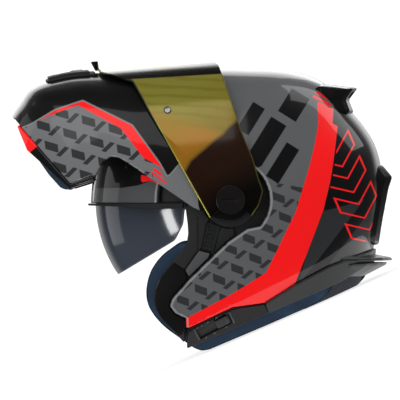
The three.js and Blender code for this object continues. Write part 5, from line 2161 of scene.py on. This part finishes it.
@dataclass
class NeckRoll:
    """The padded roll round the back of the rim, drawn in at its sewn channels.

    Its section is a circle squared up by powers of its sine and cosine, carried round the neck at the
    shell's inside. Its thickness is less by a bell curve at each channel, and falls off at the ends.
    """

    finishes: Finishes
    thickness: float = 25.0
    start: float = 5.0  # along the rim, the plan point that the roll bends round
    stations: int = 320
    turns: int = 64
    pitch: float = 22.2  # degrees between channels
    nip: float = 0.16  # share of the thickness drawn in at a channel
    sweep: float = 1.32  # radians that the roll runs each way from the back
    fade: float = 0.05  # radians over which its ends fall off

    def build(self) -> None:
        """Builds the roll."""
        turn = np.linspace(-self.sweep, self.sweep, self.stations)
        middle_drop = (ROLL_TOP + PAD_BOTTOM) / 2
        wall = self._wall(turn, middle_drop)
        away = off_repeat(np.degrees(turn), self.pitch)
        pinch = 1 - self.nip * np.exp(-((away / 1.6) ** 2)) + 0.03 * np.cos(np.radians(away * 8))
        ends = 1 - 0.5 * np.clip((np.abs(turn) - self.sweep) / self.fade + 1, 0, 1) ** 2
        angle = np.linspace(0, 2 * math.pi, self.turns + 1)[:-1]
        c, s = np.cos(angle), np.sin(angle)
        centre = wall - self.thickness / 2
        swell = squared(c, 0.75) * self.thickness / 2
        radius = centre[:, None] + swell[None, :] * (pinch * ends)[:, None]
        along = self.start + radius * np.cos(turn)[:, None]
        lowest = np.interp(along, [80, 100, 118], [PAD_BOTTOM, PAD_BOTTOM - 5, RIM_DROP - 1])
        share = (squared(s, 0.6) + 1) / 2
        down = ROLL_TOP + 0.4 + (lowest - 0.3 - ROLL_TOP) * share[None, :]
        x, z = rim_point(along, down)
        y = radius * np.sin(turn)[:, None]
        limit = Skin(Form.SHELL, SHELL_WALL + 3.1).side_reach(x.ravel(), z.ravel()).reshape(x.shape)
        y = np.sign(y) * np.minimum(np.abs(y), np.maximum(limit, 1.0))
        piece = mesh_object("neck_roll_knit", *tube(np.stack([x, y, z], 2)))
        lower_edge = np.exp(-(((angle - math.pi / 2) / 0.06) ** 2))
        mark(piece, "piping", np.concatenate([np.tile(lower_edge, self.stations), [0.0, 0.0]]))
        facing_out(piece)
        dress(piece, self.finishes.roll, "shell", "lining_cloth", "neck_roll")

    def _wall(self, turn: Array, drop: float) -> Array:
        """Distance from the bend's middle to the shell's inside along each turn, by repeated halving.

        Args:
            turn: angles in plan.
            drop: depth below the pivot line, square to the rim.

        Returns:
            The distances.
        """
        near, far = np.zeros_like(turn), np.full_like(turn, 260.0)
        skin = Skin(Form.SHELL, SHELL_WALL + 3)
        for _ in range(30):
            r = (near + far) / 2
            x, z = rim_point(self.start + r * np.cos(turn), drop)
            inside = skin.side_reach(x, z) > np.abs(r * np.sin(turn))
            near, far = np.where(inside, r, near), np.where(inside, far, r)
        return near


@dataclass
class CrownPad:
    """The quilted liner over the head: soft squares between sewn channels, its edges rolled.

    Its wall is less by a bell curve of the distance to the nearest channel, and more by a root of it.
    """

    finishes: Finishes
    pitch: float = 30.0
    wall: float = 11.8
    depth: float = 3.5  # of a channel
    puff: float = 1.4  # of a square's middle
    hem: float = 9.0  # wall at the rolled edge
    rows: tuple[float, ...] = (0.25, 0.625)

    def build(self) -> None:
        """Builds the pad."""
        region = rounded([[-74, 30], [-74, 140], [150, 140], [150, -30], [84, -30], [60, 20]], 8)
        keep = within(region)
        sheet = trimmed(Skin(Form.HEAD, 0.5), lambda p: keep(p) - 4.0, 360, 150)
        turn, row = sheet.place[:, 0], sheet.place[:, 1] / (math.pi / 2)
        off_turn = np.abs(off_repeat(turn, self.pitch)) / 1.6
        off_row = np.minimum.reduce([np.abs(np.abs(row) - line) for line in self.rows]) / 0.018
        channel = np.maximum(np.exp(-(off_turn**2)), np.exp(-(off_row**2)))
        puff = np.clip(np.minimum(off_turn / 5, off_row / 6), 0, 1) ** 0.5
        wall = self.wall - self.depth * channel + self.puff * puff
        points, triangles, quads = moulded(sheet, self.hem, Edge(4.0, 6))
        points[-len(wall):] = sheet.points - sheet.normals * wall[:, None]
        piece = mesh_object("crown_quilt", points, triangles, quads)
        dress(piece, self.finishes.crown, "shell", "lining_cloth", "crown_pad")


@dataclass
class ChinStrap:
    """The two straps with their ratchet buckle."""

    finishes: Finishes
    height: float = -92.5
    front: float = -20.0
    back: float = 4.0
    thickness: float = 2.2

    def _strap(self, name: str, path: Outline) -> Piece:
        """A flat strap: a thin rounded section carried along a path in the front view.

        Args:
            name: its name.
            path: (y, z) points of its middle.

        Returns:
            The strap.
        """
        ends = np.asarray(path, float)
        for _ in range(4):
            cut = np.stack([0.75 * ends[:-1] + 0.25 * ends[1:], 0.25 * ends[:-1] + 0.75 * ends[1:]], 1)
            ends = np.concatenate([ends[:1], cut.reshape(-1, 2), ends[-1:]])
        run = np.concatenate([[0], np.cumsum(np.linalg.norm(np.diff(ends, axis=0), axis=1))])
        at = np.linspace(0, run[-1], 120)
        line = np.stack([np.interp(at, run, ends[:, k]) for k in (0, 1)], 1)
        way = unit(np.gradient(line, axis=0))
        angle = np.linspace(0, 2 * math.pi, 49)[:-1]
        wide = squared(np.cos(angle), 0.3) * (self.back - self.front) / 2
        thick = squared(np.sin(angle), 0.5) * self.thickness / 2
        x = (self.front + self.back) / 2 + np.broadcast_to(wide, (len(line), len(angle)))
        y = line[:, :1] - way[:, 1:] * thick[None, :]
        z = line[:, 1:] + way[:, :1] * thick[None, :] + self.height
        rings = pitched(np.stack([x, y, z], 2).reshape(-1, 3), -1).reshape(len(line), len(angle), 3)
        return facing_out(mesh_object(name, *tube(rings)))

    def build(self) -> None:
        """Builds the straps and the buckle."""
        wall = PAD_INSIDE - self.thickness / 2 + 0.5
        for label, side, inner in (("left", -1, 6.0), ("right", 1, 32.4)):
            path = [[wall, 34], [wall, 14], [wall - 5, 4.5], [wall - 12, 0.6], [inner, 0]]
            strap = self._strap(f"strap_{label}", [[side * y, z] for y, z in path])
            dress(strap, self.finishes.webbing, "shell", "webbing", f"chin_strap_{label}")
        for node, finish, slot, body in (
            ("ratchet_tongue", self.finishes.gloss, "gloss_trim", "shell"),
            ("buckle_body", self.finishes.satin, "gloss_trim", "shell"),
            ("buckle_lever", self.finishes.red, "red_plastic", "buckle_lever"),
        ):
            part = eased_copy(node, f"{node}_eased", 0.3)
            dress(part, finish, body, slot)


# ---------------- the studio
@dataclass
class Studio:
    """Camera at the photograph's angle, soft lights, a pale floor and a white surround."""

    distance: float = 6.0
    frame_width: float = 0.388
    centre: Pair = (-0.02155, 0.1355)  # x and z of the picture's middle at the pivot line
    floor: Pair = (0.185, 0.145)  # half length and half width of the oval floor
    fill: float = 0.85  # even light from all round
    dark_room: float = 0.04  # what gloss reflects from the camera's side
    backdrop: float = 1.15  # what gloss reflects from behind the helmet
    behind: Pair = (0.7, 0.93)  # how far a ray runs along +Y where the backdrop fades in
    above: Pair = (0.02, 0.24)  # how far it rises where the low light gives way to full
    low_sky: float = 0.28  # share of the light left under that
    white: float = 1.15  # brightness of the white that the camera sees
    glow: float = 0.74  # light that the floor gives off
    sink: float = 0.0008  # how far the floor lies under the helmet, in metres

    def camera(self) -> None:
        """A long lens along +Y, rolled so that the helmet is seen pitched as it is worn."""
        data = bpy.data.cameras.new("studio_camera")
        data.sensor_width = 36.0
        data.lens = 36.0 * self.distance / self.frame_width
        data.clip_start, data.clip_end = 0.5, 60.0
        eye = in_scene("studio_camera", data)
        turn = Matrix(((COS_TILT, SIN_TILT, 0.0), (0.0, 0.0, -1.0), (-SIN_TILT, COS_TILT, 0.0))).to_4x4()
        eye.matrix_world = Matrix.Translation((self.centre[0], -self.distance, self.centre[1])) @ turn
        bpy.context.scene.camera = eye

    def light(self, name: str, place: Numbers, aim: Numbers, size: Pair, power: float) -> None:
        """One soft rectangular light.

        Args:
            name: its name.
            place: where it stands, in row-frame metres.
            aim: the point that it faces.
            size: its width and height in metres.
            power: in watts.
        """
        data = bpy.data.lights.new(name, "AREA")
        data.shape = "RECTANGLE"
        data.size, data.size_y = size
        data.energy = power
        lamp = in_scene(name, data)
        lamp.location = place
        lamp.rotation_mode = "QUATERNION"
        lamp.rotation_quaternion = (Vector(aim) - Vector(place)).to_track_quat("-Z", "Y")

    def ground(self) -> None:
        """An oval pale floor, which glows so that its edge is lost in the white behind it."""
        turns, rings = 96, 5
        turn, out = np.meshgrid(
            np.linspace(0, 2 * math.pi, turns + 1)[:-1], np.linspace(0.1, 1.0, rings))
        level = np.full(turn.shape, -self.sink)
        points = np.stack(
            [np.cos(turn) * out * self.floor[0], np.sin(turn) * out * self.floor[1], level], 2)
        mesh = bpy.data.meshes.new("studio_floor")
        faces = grid_faces(rings, turns, True).tolist() + [list(range(turns))[::-1]]
        mesh.from_pydata(points.reshape(-1, 3).tolist(), [], faces)
        board = Board("studio_floor_pale")
        board.set(Roughness=0.9, Emission_Strength=self.glow, Emission_Color=(1.0, 1.0, 1.0, 1.0))
        board.paint(board.blend((0.32, 0.32, 0.325), (0.36, 0.36, 0.36), board.noise(3.0)))
        mesh.materials.append(board.material)
        in_scene("studio_floor", mesh)

    def surround(self) -> None:
        """A world that is white to the camera, and to gloss bright only behind the helmet and above."""
        world = bpy.data.worlds.new("studio_world")
        world.use_nodes = True
        tree = world.node_tree
        back = tree.nodes["Background"]

        def node(kind: str, *values: float | Numbers) -> bpy.types.Node:
            """Adds a node, with values for the sockets after its first."""
            made = tree.nodes.new("ShaderNode" + kind)
            for socket, value in zip(made.inputs[1:], values):
                socket.default_value = value
            return made
        path, split = node("LightPath"), node("SeparateXYZ")
        way = node("TexCoord").outputs["Generated"]
        behind = node("MapRange", *self.behind, self.dark_room, self.backdrop)
        behind.interpolation_type = "SMOOTHSTEP"
        above = node("VectorMath", (0.6, 0.0, 0.8))
        above.operation = "DOT_PRODUCT"
        lifted = node("MapRange", *self.above, self.low_sky, 1.0)
        gloss = node("Math")
        gloss.operation = "MULTIPLY"
        soft, seen = node("Mix"), node("Mix")
        soft.inputs[2].default_value = self.fill
        seen.inputs[3].default_value = self.white
        for source, target in (
            (way, above.inputs[0]), (above.outputs["Value"], lifted.inputs[0]), (way, split.inputs[0]),
            (split.outputs["Y"], behind.inputs[0]), (behind.outputs[0], gloss.inputs[0]),
            (lifted.outputs[0], gloss.inputs[1]), (path.outputs["Is Glossy Ray"], soft.inputs[0]),
            (gloss.outputs[0], soft.inputs[3]), (path.outputs["Is Camera Ray"], seen.inputs[0]),
            (soft.outputs[0], seen.inputs[2]), (seen.outputs[0], back.inputs["Strength"]),
        ):
            tree.links.new(source, target)
        back.inputs["Color"].default_value = (1.0, 1.0, 1.0, 1.0)
        bpy.context.scene.world = world
        bpy.context.scene.view_settings.view_transform = "Standard"
        bpy.context.scene.view_settings.look = "None"

    def build(self) -> None:
        """Sets up the studio."""
        self.camera()
        self.ground()
        self.surround()
        self.light("key_overhead", (-0.3, -1.2, 2.1), (0, 0, 0.15), (2.6, 1.8), 14)
        self.light("window_left", (-1.33, -1.64, 0.22), (0, 0, 0.13), (0.3, 0.55), 5)
        self.light("rim_back_right", (1.5, 0.6, 0.9), (0, 0, 0.15), (0.9, 1.6), 6)
        self.light("rim_back_left", (-1.5, 0.6, 0.9), (0, 0, 0.15), (0.9, 1.6), 2.5)
        self.light("far_side", (0.0, 1.9, 1.1), (0, 0, 0.15), (2.0, 1.2), 8)


def kept_nodes(frame: dict, finishes: Finishes) -> None:
    """Gives the frame's own nodes that stay in view, both of foam, their finish.

    Args:
        frame: the loaded frame.
        finishes: the finishes.
    """
    for name in ("eps_liner", "chin_bar_liner"):
        worn = frame["nodes"][name].data.materials
        worn.clear()
        worn.append(finishes.foam)
        log.info("%s keeps its shape", name)


def main() -> None:
    """Builds the studio and the helmet."""
    logging.basicConfig(level=logging.INFO, format="%(name)s: %(message)s")
    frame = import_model()
    Studio().build()
    finishes = Finishes()
    kept_nodes(frame, finishes)
    for part in (
        Shell(finishes), FaceVisor(finishes), SunVisor(finishes), ChinBar(finishes), CrownPad(finishes),
        CheekPad(finishes), NeckRoll(finishes), ChinStrap(finishes),
    ):
        part.build()


if __name__ == "__main__":
    main()
